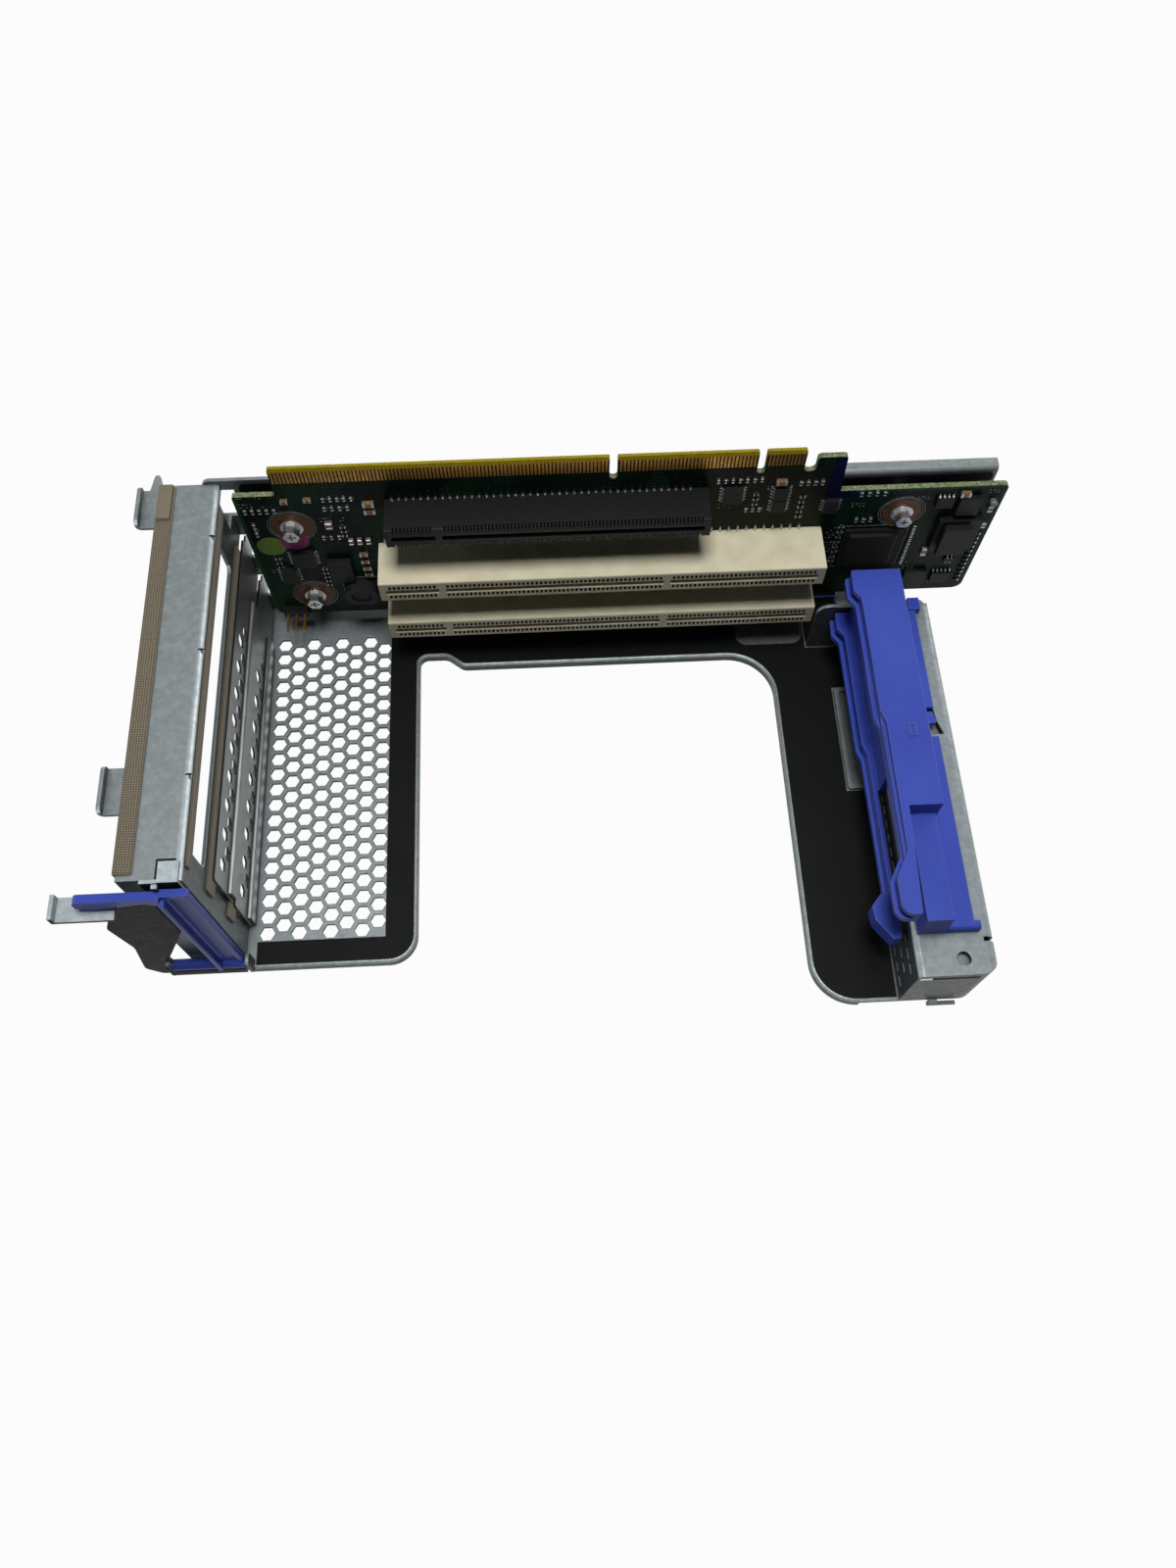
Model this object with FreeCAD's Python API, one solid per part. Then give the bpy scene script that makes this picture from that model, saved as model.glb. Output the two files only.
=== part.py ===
import FreeCAD, Part
import math
import os

# Server riser assembly: a riser board in a folded sheet-metal cage, standing on the cage's base plate.
# Frame: X along the card slots, Y from the open front towards the back wall, Z up. Millimetres.
# Origin: underside of the base plate, below the slots' left ends, in the plane of the board's front face.

# Card slots, by which everything in the cage is placed
SLOT_PITCH = 20.32
LOWER_SLOT_Z = 18.0
SLOT_COUNT = 3

# Sheet metal
SHEET = 1.0
LIP_DROP = 2.0
LIP_BEND = 0.9
BEND = 1.6

# Riser board and the way it stands off the back wall
BOARD_T = 1.6
STANDOFF_LENGTH = 5.0
BOARD_END_GAP = 4.4
BOARD_PAST_SLOTS = 50.4
BOARD_BELOW_SLOT = 10.0
LEFT_SHOULDER_RISE = 6.7
RIGHT_SHOULDER_RISE = -0.1
TONGUE_RISE = 17.3
TONGUE_ROOT_RISE = 8.9
TONGUE_LEFT = -24.6
TONGUE_RIGHT_INSET = 9.2
TAB_RISE = 14.4
TAB_WIDTH = 8.0
TAB_GAP = 3.3
KEY_WIDTH = 2.2
FIRST_KEY_X = 66.0
SECOND_KEY_INSET = 22.1
BOARD_CORNER = 3.0
FINGER_HEIGHT = 4.6
TONGUE_BEVEL = 1.1
TONGUE_BEVEL_DEPTH = 0.35
PLATING = 0.06

# Board screws: two at the left end and one at the right
LEFT_SCREW_X = -22.9
LEFT_SCREW_RISE = 15.9
RIGHT_SCREW_PAST = 22.3
RIGHT_SCREW_RISE = 9.8
SCREW_FLANGE_R = 3.2
SCREW_FLANGE_T = 0.8
SCREW_HEAD_R = 2.4
SCREW_HEAD_H = 3.2
SCREW_R = 1.25
THREAD_GAP = 0.05
BOARD_HOLE_R = 1.7
STANDOFF_R = 3.0

# Card sockets
PCI_LENGTH = 128.1
PCI_HEIGHT = 14.4
PCI_WIDTH = 8.5
PCI_KEYS = (18.0, 82.5)
PCI_SLOT_INSET = 1.9
EXPRESS_LEFT = 4.45
EXPRESS_LENGTH = 89.0
EXPRESS_HEIGHT = 11.0
EXPRESS_WIDTH = 7.4
EXPRESS_KEY = 14.6
EXPRESS_SLOT_INSET = 1.6
SLOT_WIDTH = 1.9
SLOT_BOTTOM = 4.0
SLOT_KEY_WIDTH = 1.9
CONTACT_T = 0.15
CONTACT_SETBACK = 2.0
MOUTH_CHAMFER = 0.6

# Base plate outline
SLOT_WALL_X = -40.8
LEFT_LEG_RIGHT = 7.0
LEFT_LEG_FRONT = -112.4
LEFT_LEG_CORNER = 8.0
STRIP_FRONT = -17.5
RELIEF_DEPTH = 4.0
RELIEF_LENGTH = 8.5
RELIEF_SLOPE = 5.0
RIGHT_LEG_INSET = 11.1
INNER_CORNER = 14.0
RIGHT_LEG_FRONT = -130.0
RIGHT_LEG_CORNER = 12.5

# Hexagonal vent in the left leg
HEX_FLATS = 3.9
HEX_PITCH = 5.0
HEX_COLUMNS = 8
HEX_ROWS = 20
HEX_COLUMN_STEP = 4.46
HEX_FIRST_X = 5.4
HEX_FIRST_Y = -7.4
VENT_MARGIN = 2.2

# Films and pad
FILM_T = 0.25
FILM_MARGIN = 1.0
FILM_GAP = 0.5
PAD_T = 0.4
PAD_LENGTH = 21.0
PAD_DEPTH = 7.8

# Slot wall
TOP_STRIP_RISE = 4.4
TOP_STRIP_WIDTH = 15.4
OUTER_FLANGE = 5.0
SLOT_WALL_FRONT = -108.6
OPENING_HEIGHT = 12.0
OPENING_BELOW_SLOT = 1.1
OPENING_FRONT = -99.6
OPENING_BACK = -9.0
TAIL_WINDOW_WIDTH = 5.8
TAIL_WINDOW_HEIGHT = 11.3
TAIL_WINDOW_ABOVE = 1.8
TAIL_WINDOW_SETBACK = 2.4
RELIEF_NOTCHES = (-10.4, -45.8, -81.3)
NOTCH_SIZE = 1.4
HOOK_REACH = 7.3
HOOK_LENGTH = 12.6
HOOK_LIP = 3.4
HOOK_CORNER = 1.4
BACK_HOOK_FRONT = -4.2
MIDDLE_HOOK_FRONT = -89.6
HOOK_POINT = 8.0

# Gaskets and slot covers
GASKET_T = 0.8
TOP_GASKET_WIDTH = 3.9
BAR_GASKET_FRONT = -104.5
BAR_GASKET_HEIGHT = 6.6
COVER_T = 0.5
COVER_WIDTH = 18.2
COVER_ABOVE_SLOT = 2.8
COVER_FRONT = -100.6
COVER_BACK = 4.4
COVER_TAIL = 3.6
COVER_TAIL_HEIGHT = 8.0
COVER_HOLE_LENGTH = 3.8
COVER_HOLE_HEIGHT = 4.4
COVER_HOLE_PITCH = 8.5
COVER_ROWS_BELOW_SLOT = (3.4, 6.9)
COVER_BEAD_BELOW_SLOT = 9.4
COVER_BEAD_HEIGHT = 5.6
COVER_BEAD = 1.2

# Back wall
BACK_WALL_PAST_SLOT_WALL = 4.8
BACK_WALL_PAST_SLOTS = 48.9
LEFT_WALL_RISE = 5.7
MIDDLE_WALL_RISE = -2.6
RIGHT_WALL_RISE = -0.6
LEFT_WALL_WIDTH = 23.6
RIGHT_WALL_WIDTH = 45.0
RIGHT_FLANGE = 3.5
WALL_OVERHANG_BOTTOM = 5.0

# Latch bracket and bracket latch
LATCH_BRACKET_WIDTH = 9.2
END_PLATE_STEP = 1.0
END_PLATE_TOP = 54.4
END_PLATE_REACH = 17.6
TOE_REACH = 10.6
LATCH_AXIS_GAP = 1.9
LATCH_AXIS_Z = 5.0
LATCH_PIN_R = 0.9
LATCH_RUNNING_GAP = 0.07
PIN_HOLE_GAP = 0.05
LATCH_BARREL_R = 1.6
LATCH_WIDTH = 7.2
LATCH_DEPTH = 3.8
LATCH_RIGHT_DEPTH = 2.0
LATCH_WALL = 1.3
LATCH_TOP = 60.5
LATCH_SIDE_GAP = 0.4
LATCH_FRONT_GAP = 0.4
ARM_REACH = 20.0
ARM_T = 2.3
ARM_HEIGHT = 5.4
EAR_HEIGHT = 8.0

# Card support box
BOX_PAST_SLOTS = 12.3
BOX_WIDTH = 21.6
BOX_HEIGHT = 23.0
BOX_BACK = -14.5
EAR_REACH = 11.6
BOX_CORNER = 5.0
BOX_HOLE_R = 1.9
BOX_HOLE_FROM_FRONT = 4.5
BOX_HOLE_FROM_LEFT = 12.5
BOX_RELIEF_FROM_FRONT = 9.0
BOX_VENT_ROWS = 3
BOX_VENT_COLUMNS = 14
BOX_VENT_PITCH = 4.2
BOX_VENT_LENGTH = 3.0
BOX_VENT_HEIGHT = 1.5
BOX_FOOT_REACH = 5.2
BOX_FOOT_FRONT = -65.6
BOX_FOOT_BACK = -31.1
BOX_FOOT_RIM = 1.4
SNAP_BACK = -51.0
SNAP_FRONT = -60.0
SNAP_SEAT_DEPTH = 3.0
BOX_BEND = 2.4
FRONT_TOE_LEFT = 8.2
FRONT_TOE_NECK = 2.4
FRONT_TOE_LENGTH = 8.0
FRONT_TOE_HEIGHT = 1.1
FRONT_TOE_GAP = 0.2

# Card guide
CARD_END_PAST_SLOTS = 5.9
GROOVE = 2.2
GROOVE_DEPTH = 3.0
GUIDE_LIP = 1.9
GUIDE_LIP_SETBACK = 0.9
GUIDE_WEB = 1.5
GUIDE_WALL_GAP = 0.2
GUIDE_BACK = -14.8
GUIDE_FRONT = -118.4
GUIDE_WEB_FRONT = -75.0
GUIDE_STEP_Y = -88.6
GUIDE_BLOCK_RIGHT = 8.8
GUIDE_LEDGE_RIGHT = 16.4
GUIDE_LEDGE_T = 1.6
GUIDE_STEP_DROP = 6.2
GUIDE_SLIT = 1.2
GUIDE_LIP_RISE = 1.4
GUIDE_FRAME_X = 3.0
GUIDE_FRAME_Y = -68.6
GUIDE_FRAME_WIDTH = 2.2
GUIDE_FRAME_LENGTH = 3.8
GUIDE_FRAME_RISE = 0.4
GUIDE_FRAME_RIM = 0.5

# Values worked out from the driving sizes
V = FreeCAD.Vector
slot_z = [LOWER_SLOT_Z + i * SLOT_PITCH for i in range(SLOT_COUNT)]
express_right = EXPRESS_LEFT + EXPRESS_LENGTH
top_slot = slot_z[-1]
wall_y = BOARD_T + STANDOFF_LENGTH
board_left = SLOT_WALL_X + BOARD_END_GAP
board_right = PCI_LENGTH + BOARD_PAST_SLOTS
board_bottom = LOWER_SLOT_Z - BOARD_BELOW_SLOT
tongue_right = PCI_LENGTH - TONGUE_RIGHT_INSET
box_left = PCI_LENGTH + BOX_PAST_SLOTS
box_right = box_left + BOX_WIDTH
box_top = SHEET + BOX_HEIGHT
right_leg_left = PCI_LENGTH - RIGHT_LEG_INSET
screw_places = [
    (LEFT_SCREW_X, slot_z[0] + 0.1),
    (LEFT_SCREW_X, slot_z[1] - SLOT_PITCH + 2 * LEFT_SCREW_RISE + 2.0),
    (PCI_LENGTH + RIGHT_SCREW_PAST, slot_z[1] + RIGHT_SCREW_RISE),
]
strip_top = top_slot + TOP_STRIP_RISE
strip_left = SLOT_WALL_X - TOP_STRIP_WIDTH
gasket_face = SLOT_WALL_X + GASKET_T
latch_y = SLOT_WALL_FRONT - SHEET - LATCH_AXIS_GAP


def block(x0, x1, y0, y1, z0, z1):
    """Box between two corners."""
    return Part.makeBox(x1 - x0, y1 - y0, z1 - z0, V(x0, y0, z0))


def rod(radius, start, along, length):
    """Cylinder from a start point along a direction."""
    return Part.makeCylinder(radius, length, V(*start), V(*along))


def outline(corners, place):
    """Closed wire through corners (a, b) or (a, b, radius); place puts a flat point into space."""
    spans = []
    count = len(corners)
    for i, corner in enumerate(corners):
        here = V(corner[0], corner[1], 0)
        radius = corner[2] if len(corner) > 2 else 0
        if radius == 0:
            spans.append((here, None, here))
            continue
        before = (V(*corners[i - 1][:2], 0) - here).normalize()
        after = (V(*corners[(i + 1) % count][:2], 0) - here).normalize()
        half = before.getAngle(after) / 2
        reach = radius / math.tan(half)
        middle = (before + after).normalize() * (radius / math.sin(half) - radius)
        spans.append((here + before * reach, here + middle, here + after * reach))
    edges = []
    for i, (start, middle, stop) in enumerate(spans):
        if middle is not None:
            edges.append(Part.Arc(place(start), place(middle), place(stop)).toShape())
        following = spans[(i + 1) % count][0]
        if (following - stop).Length > 1e-6:
            edges.append(Part.LineSegment(place(stop), place(following)).toShape())
    return Part.Wire(edges)


def flat_plate(corners, z0, z1):
    """Plate with an outline in X and Y, between two heights."""
    return Part.Face(outline(corners, lambda p: V(p.x, p.y, z0))).extrude(V(0, 0, z1 - z0))


def cross_plate(corners, y0, y1):
    """Plate with an outline in X and Z, between two depths."""
    return Part.Face(outline(corners, lambda p: V(p.x, y0, p.y))).extrude(V(0, y1 - y0, 0))


def side_plate(corners, x0, x1):
    """Plate with an outline in Y and Z, between two lengths."""
    return Part.Face(outline(corners, lambda p: V(x0, p.x, p.y))).extrude(V(x1 - x0, 0, 0))


def joined(shapes):
    """One solid from shapes that touch or overlap."""
    return shapes[0].multiFuse(shapes[1:]).removeSplitter()


def rounded(shape, radius, wanted):
    """Shape with the edges that wanted picks, by their middle point and direction, rounded."""
    edges = []
    for edge in shape.Edges:
        if edge.Degenerated:
            continue
        middle = edge.valueAt((edge.FirstParameter + edge.LastParameter) / 2)
        along = edge.tangentAt((edge.FirstParameter + edge.LastParameter) / 2)
        if wanted(middle, along):
            edges.append(edge)
    return shape.makeFillet(radius, edges)


def near(a, b):
    """True where two lengths agree."""
    return abs(a - b) < 1e-4


def rim(shape, y):
    """Round edge of a rod along Y at one of its ends."""
    return [e for e in shape.Edges if near(e.BoundBox.YMin, y) and near(e.BoundBox.YMax, y)][0]


# Base plate: one sheet cut to a U, with the vent, a turned-down lip round the cut-out
# and an ear for the latch pin
def base_corners():
    """Outline of the base plate, from the back left corner round the cut-out to the back right corner."""
    relief_y = STRIP_FRONT + RELIEF_DEPTH
    relief_x = LEFT_LEG_RIGHT + RELIEF_LENGTH
    return [
        (SLOT_WALL_X, wall_y),
        (SLOT_WALL_X, LEFT_LEG_FRONT),
        (LEFT_LEG_RIGHT, LEFT_LEG_FRONT, LEFT_LEG_CORNER),
        (LEFT_LEG_RIGHT, relief_y, 2.5),
        (relief_x, relief_y, 3.5),
        (relief_x + RELIEF_SLOPE, STRIP_FRONT, 3.5),
        (right_leg_left, STRIP_FRONT, INNER_CORNER),
        (right_leg_left, RIGHT_LEG_FRONT, RIGHT_LEG_CORNER),
        (box_right, RIGHT_LEG_FRONT, BOX_CORNER),
        (box_right, wall_y),
    ]


def hex_prism(x, y):
    """Vent hole with its points along X."""
    reach = HEX_FLATS / math.sqrt(3)
    corners = []
    for k in range(6):
        corners.append((x + reach * math.cos(k * math.pi / 3), y + reach * math.sin(k * math.pi / 3)))
    return flat_plate(corners, -SHEET, 2 * SHEET)


def latch_ear(x0):
    """Ear with the latch pin's hole, standing on the sheet."""
    half = LATCH_BARREL_R + 0.1
    ear = side_plate(
        [
            (latch_y - half, SHEET / 2),
            (latch_y + half, SHEET / 2),
            (latch_y + half, EAR_HEIGHT, half - 0.3),
            (latch_y - half, EAR_HEIGHT, half - 0.3),
        ],
        x0,
        x0 + SHEET,
    )
    return ear.cut(rod(LATCH_PIN_R + PIN_HOLE_GAP, (x0 - 1, latch_y, LATCH_AXIS_Z), (1, 0, 0), SHEET + 2))


latch_right = SLOT_WALL_X + 1.0
right_ear_x = latch_right + LATCH_SIDE_GAP
lip_end = right_leg_left + RIGHT_LEG_CORNER


def front_toe():
    """Hook folded down in front of the base's edge, its toe turned to the right."""
    left = box_left + FRONT_TOE_LEFT
    back = RIGHT_LEG_FRONT - FRONT_TOE_GAP
    front = back - SHEET
    neck = side_plate(
        [
            (RIGHT_LEG_FRONT + SHEET, 0),
            (back, 0),
            (back, -LIP_DROP),
            (front, -LIP_DROP),
            (front, SHEET, LIP_BEND),
            (RIGHT_LEG_FRONT + SHEET, SHEET),
        ],
        left,
        left + FRONT_TOE_NECK,
    )
    toe = cross_plate(
        [
            (left, -LIP_DROP),
            (left + FRONT_TOE_LENGTH, -LIP_DROP),
            (left + FRONT_TOE_LENGTH, FRONT_TOE_HEIGHT - LIP_DROP, 0.6),
            (left, FRONT_TOE_HEIGHT - LIP_DROP),
        ],
        front,
        back,
    )
    return joined([neck, toe])


def base_plate():
    face = Part.Face(outline(base_corners(), lambda p: V(p.x, p.y, 0)))
    inset = face.makeOffset2D(-SHEET)
    lip_back = STRIP_FRONT + RELIEF_DEPTH + SHEET
    lip_zone = block(SLOT_WALL_X + SHEET, lip_end, RIGHT_LEG_FRONT - 1, lip_back, -1, 1)
    band = face.cut(inset).common(lip_zone)
    lip = band.extrude(V(0, 0, SHEET + LIP_DROP))
    lip.translate(V(0, 0, -LIP_DROP))
    inner = inset.Wires[0]

    def outer_top(middle, along):
        """Top edges along the open side of the lip, not its ends."""
        away = inner.distToShape(Part.Vertex(middle.x, middle.y, 0))[0]
        return near(middle.z, SHEET) and away > SHEET - 1e-3

    lip = rounded(lip.Solids[0], LIP_BEND, outer_top)
    plate = face.cut(band).extrude(V(0, 0, SHEET))
    holes = []
    for column in range(HEX_COLUMNS):
        for row in range(HEX_ROWS - column % 2):
            y = HEX_FIRST_Y - (row + 0.5 * (column % 2)) * HEX_PITCH
            holes.append(hex_prism(SLOT_WALL_X + HEX_FIRST_X + column * HEX_COLUMN_STEP, y))
    plate = plate.cut(holes)
    return joined([plate, lip, latch_ear(right_ear_x), front_toe()])


# Black film glued on the base, open round the vent, the box and its foot
vent_right = SLOT_WALL_X + HEX_FIRST_X + (HEX_COLUMNS - 1) * HEX_COLUMN_STEP + VENT_MARGIN
vent_front = HEX_FIRST_Y - (HEX_ROWS - 0.52) * HEX_PITCH


def base_film():
    face = Part.Face(outline(base_corners(), lambda p: V(p.x, p.y, SHEET)))
    film = face.makeOffset2D(-FILM_MARGIN).extrude(V(0, 0, FILM_T))
    far = 2 * PCI_LENGTH
    foot_clear = box_left - BOX_FOOT_REACH - FILM_GAP
    windows = [
        block(SLOT_WALL_X - 1, vent_right, vent_front, wall_y, 0, far),
        block(SLOT_WALL_X - 1, right_ear_x + SHEET + FILM_GAP, LEFT_LEG_FRONT, vent_front, 0, far),
        block(box_left - FILM_GAP, far, RIGHT_LEG_FRONT, wall_y, 0, far),
        block(box_left - EAR_REACH - FILM_GAP, far, BOX_BACK - SHEET - FILM_GAP, wall_y, 0, far),
        block(foot_clear, far, BOX_FOOT_FRONT - FILM_GAP, BOX_FOOT_BACK + FILM_GAP, 0, far),
    ]
    return film.cut(windows)


def grey_pad():
    right = box_left - EAR_REACH - 2 * FILM_GAP
    back = STRIP_FRONT + FILM_MARGIN + 2.2 + PAD_DEPTH
    corner = PAD_DEPTH / 2.2
    corners = [
        (right - PAD_LENGTH, back - PAD_DEPTH, corner),
        (right, back - PAD_DEPTH, corner),
        (right, back),
        (right - PAD_LENGTH, back),
    ]
    return flat_plate(corners, SHEET + FILM_T, SHEET + FILM_T + PAD_T)


# Back wall: upright sheet behind the board, with the windows for the card brackets' tails
wall_left = SLOT_WALL_X - BACK_WALL_PAST_SLOT_WALL
wall_right = PCI_LENGTH + BACK_WALL_PAST_SLOTS


def tail_window(z, y0, y1):
    """Window in the corner of slot wall and back wall, for a bracket's tail."""
    x0 = SLOT_WALL_X - TAIL_WINDOW_SETBACK
    top = z + TAIL_WINDOW_ABOVE
    return block(x0, x0 + TAIL_WINDOW_WIDTH, y0, y1, top - TAIL_WINDOW_HEIGHT, top)


def back_wall():
    left_step = wall_left + LEFT_WALL_WIDTH
    right_step = wall_right - RIGHT_WALL_WIDTH
    right_top = top_slot + RIGHT_WALL_RISE
    corners = [
        (wall_left, -LIP_DROP),
        (box_right, -LIP_DROP),
        (box_right, WALL_OVERHANG_BOTTOM),
        (wall_right, WALL_OVERHANG_BOTTOM, 3.0),
        (wall_right, right_top),
        (right_step, right_top),
        (right_step, top_slot + MIDDLE_WALL_RISE, 1.4),
        (left_step, top_slot + MIDDLE_WALL_RISE, 3.0),
        (left_step, top_slot + LEFT_WALL_RISE, 3.0),
        (wall_left, top_slot + LEFT_WALL_RISE, 2.5),
    ]
    sheet = cross_plate(corners, wall_y, wall_y + SHEET)
    sheet = sheet.cut([tail_window(z, wall_y - 1, wall_y + SHEET + 1) for z in slot_z])
    flange = block(right_step, wall_right, wall_y, wall_y + RIGHT_FLANGE, right_top - SHEET, right_top)
    wall = joined([sheet, flange])
    return rounded(wall, BEND, lambda m, t: near(m.y, wall_y) and near(m.z, right_top) and abs(t.x) > 0.9)


def back_film():
    """Black film on the back wall's inside, holed for the standoffs."""
    left = board_left + 0.6
    right = wall_right - FILM_MARGIN
    step = wall_right - RIGHT_WALL_WIDTH + FILM_MARGIN
    middle_top = top_slot + MIDDLE_WALL_RISE - FILM_MARGIN
    right_top = top_slot + RIGHT_WALL_RISE - BEND - FILM_GAP
    left_step = wall_left + LEFT_WALL_WIDTH - FILM_MARGIN
    left_top = top_slot + LEFT_WALL_RISE - FILM_MARGIN - FILM_GAP
    corners = [
        (left, SHEET + FILM_T + FILM_GAP),
        (box_right - FILM_MARGIN, SHEET + FILM_T + FILM_GAP),
        (box_right - FILM_MARGIN, WALL_OVERHANG_BOTTOM + FILM_MARGIN),
        (right, WALL_OVERHANG_BOTTOM + FILM_MARGIN, 2.5),
        (right, right_top, 1.0),
        (step, right_top, 0.5),
        (step, middle_top),
        (left_step, middle_top),
        (left_step, left_top, 1.0),
        (left, left_top, 2.0),
    ]
    film = cross_plate(corners, wall_y - FILM_T, wall_y)
    holes = [rod(STANDOFF_R + FILM_GAP, (x, wall_y - 1, z), (0, 1, 0), 2) for x, z in screw_places]
    return film.cut(holes)


# Slot wall: upright sheet with three bracket openings, a top strip bent outwards and hooks for the chassis
def hook(front, outer_z):
    """Tab bent outwards from the outer flange, with an upturned end."""
    end = strip_left - HOOK_REACH
    tab = block(end, strip_left + SHEET, front, front + HOOK_LENGTH, outer_z, outer_z + SHEET)
    lip = block(end, end + SHEET, front, front + HOOK_LENGTH, outer_z, outer_z + HOOK_LIP)
    bent = joined([tab, lip])
    bent = rounded(bent, BEND, lambda m, t: near(m.x, end) and near(m.z, outer_z) and abs(t.y) > 0.9)
    return rounded(bent, HOOK_CORNER, lambda m, t: near(m.z, outer_z + HOOK_LIP) and abs(t.x) > 0.9)


def slot_wall():
    outer_z = strip_top - OUTER_FLANGE
    web = block(SLOT_WALL_X - SHEET, SLOT_WALL_X, SLOT_WALL_FRONT, wall_y, -LIP_DROP, strip_top)
    openings = []
    for z in slot_z:
        top = z - OPENING_BELOW_SLOT
        corners = [
            (OPENING_FRONT, top - OPENING_HEIGHT, 2.0),
            (OPENING_BACK, top - OPENING_HEIGHT, 2.0),
            (OPENING_BACK, top, 2.0),
            (OPENING_FRONT, top, 2.0),
        ]
        openings.append(side_plate(corners, SLOT_WALL_X - 2 * SHEET, SLOT_WALL_X + SHEET))
        openings.append(tail_window(z, wall_y - STANDOFF_LENGTH, wall_y + 1))
    web = web.cut(openings)
    strip = block(strip_left, SLOT_WALL_X, SLOT_WALL_FRONT, wall_y, strip_top - SHEET, strip_top)
    outer = block(strip_left, strip_left + SHEET, SLOT_WALL_FRONT, wall_y, outer_z, strip_top)
    front = block(strip_left, SLOT_WALL_X, SLOT_WALL_FRONT, SLOT_WALL_FRONT + SHEET, -LIP_DROP, strip_top)
    wall = joined([web, strip, outer, front])
    wall = rounded(
        wall,
        BEND,
        lambda m, t: near(m.x, SLOT_WALL_X) and near(m.z, strip_top) and abs(t.y) > 0.9,
    )
    notches = []
    for y in RELIEF_NOTCHES:
        corners = [
            (SLOT_WALL_X - NOTCH_SIZE, y),
            (SLOT_WALL_X + 0.1, y - NOTCH_SIZE),
            (SLOT_WALL_X + 0.1, y + NOTCH_SIZE / 2),
        ]
        notches.append(flat_plate(corners, strip_top - BEND, strip_top + 0.1))
    wall = wall.cut(notches)
    back_hook_end = BACK_HOOK_FRONT + HOOK_LENGTH
    point = flat_plate(
        [
            (strip_left - 0.65 * HOOK_REACH, back_hook_end - 0.5),
            (strip_left - 0.1 * HOOK_REACH, back_hook_end - 0.5),
            (strip_left - 0.45 * HOOK_REACH, back_hook_end + HOOK_POINT, 0.8),
        ],
        outer_z,
        outer_z + SHEET,
    )
    return joined([wall, hook(BACK_HOOK_FRONT, outer_z), hook(MIDDLE_HOOK_FRONT, outer_z), point])


# Gaskets of conductive cloth: one folded over the top strip's outer edge,
# and strips on the bars between openings
def top_gasket():
    top = strip_top + GASKET_T
    outside = strip_left - GASKET_T
    length = (SLOT_WALL_FRONT + 1.5, wall_y - 0.6)
    over = block(outside, strip_left + TOP_GASKET_WIDTH, length[0], length[1], strip_top, top)
    down = block(outside, strip_left, length[0], length[1], strip_top - OUTER_FLANGE + SHEET + 0.3, top)
    folded = joined([over, down])
    folded = rounded(folded, GASKET_T, lambda m, t: near(m.x, outside) and near(m.z, top) and abs(t.y) > 0.9)
    second_right = strip_left + TOP_GASKET_WIDTH - 0.3
    second = block(outside + 0.4, second_right, length[1] - 11.5, length[1], top, top + GASKET_T)
    return Part.makeCompound([folded, second])


def slot_gaskets():
    strips = []
    for z in slot_z:
        low = z - OPENING_BELOW_SLOT + 0.4
        height = BAR_GASKET_HEIGHT
        if z == top_slot:
            height = strip_top - BEND - 0.3 - low
        strips.append(
            block(SLOT_WALL_X, gasket_face, BAR_GASKET_FRONT, OPENING_BACK + 9.0, low, low + height)
        )
    return Part.makeCompound(strips)


def slot_cover(z):
    """Blank bracket with a vent of staggered holes, a stiffening bead and a tail that sits in its window."""
    top = z + COVER_ABOVE_SLOT
    face = gasket_face + COVER_T
    tail_top = z + TAIL_WINDOW_ABOVE - 1.2
    corners = [
        (COVER_FRONT, top - COVER_WIDTH, 1.0),
        (COVER_BACK, top - COVER_WIDTH, 1.0),
        (COVER_BACK, tail_top - COVER_TAIL_HEIGHT),
        (COVER_BACK + COVER_TAIL, tail_top - COVER_TAIL_HEIGHT, 1.5),
        (COVER_BACK + COVER_TAIL, tail_top, 1.5),
        (COVER_BACK, tail_top),
        (COVER_BACK, top, 1.0),
        (COVER_FRONT, top, 1.0),
    ]
    cover = side_plate(corners, gasket_face, face)
    columns = int((OPENING_BACK - COVER_FRONT - COVER_HOLE_PITCH) / COVER_HOLE_PITCH)
    wide = COVER_HOLE_LENGTH / 2
    tall = COVER_HOLE_HEIGHT / 2
    holes = []
    for row, below in enumerate(COVER_ROWS_BELOW_SLOT):
        for column in range(columns):
            y = COVER_FRONT + COVER_HOLE_PITCH * (0.75 + column + 0.5 * row)
            upper_half = [(-wide, 0), (-wide / 2, tall), (wide / 2, tall)]
            hexagon = upper_half + [(-along, -up) for along, up in upper_half]
            corners = [(y + along, z - below + up) for along, up in hexagon]
            holes.append(side_plate(corners, gasket_face - 1, face + 1))
    cover = cover.cut(holes)
    bead_top = z - COVER_BEAD_BELOW_SLOT
    bead_low = bead_top - COVER_BEAD_HEIGHT
    bead = block(face, face + COVER_BEAD, COVER_FRONT + 0.5, OPENING_BACK, bead_low, bead_top)
    bead = rounded(bead, COVER_BEAD * 0.8, lambda m, t: near(m.x, face + COVER_BEAD) and abs(t.y) > 0.9)
    return joined([cover, bead])


# Latch bracket: folded sheet on the slot wall's front end that carries the latch
bracket_y = SLOT_WALL_FRONT - SHEET
bracket_right = SLOT_WALL_X - 0.4
bracket_left = bracket_right - LATCH_BRACKET_WIDTH
end_plate_y = bracket_y - END_PLATE_STEP
toe_left = bracket_left - TOE_REACH


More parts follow.
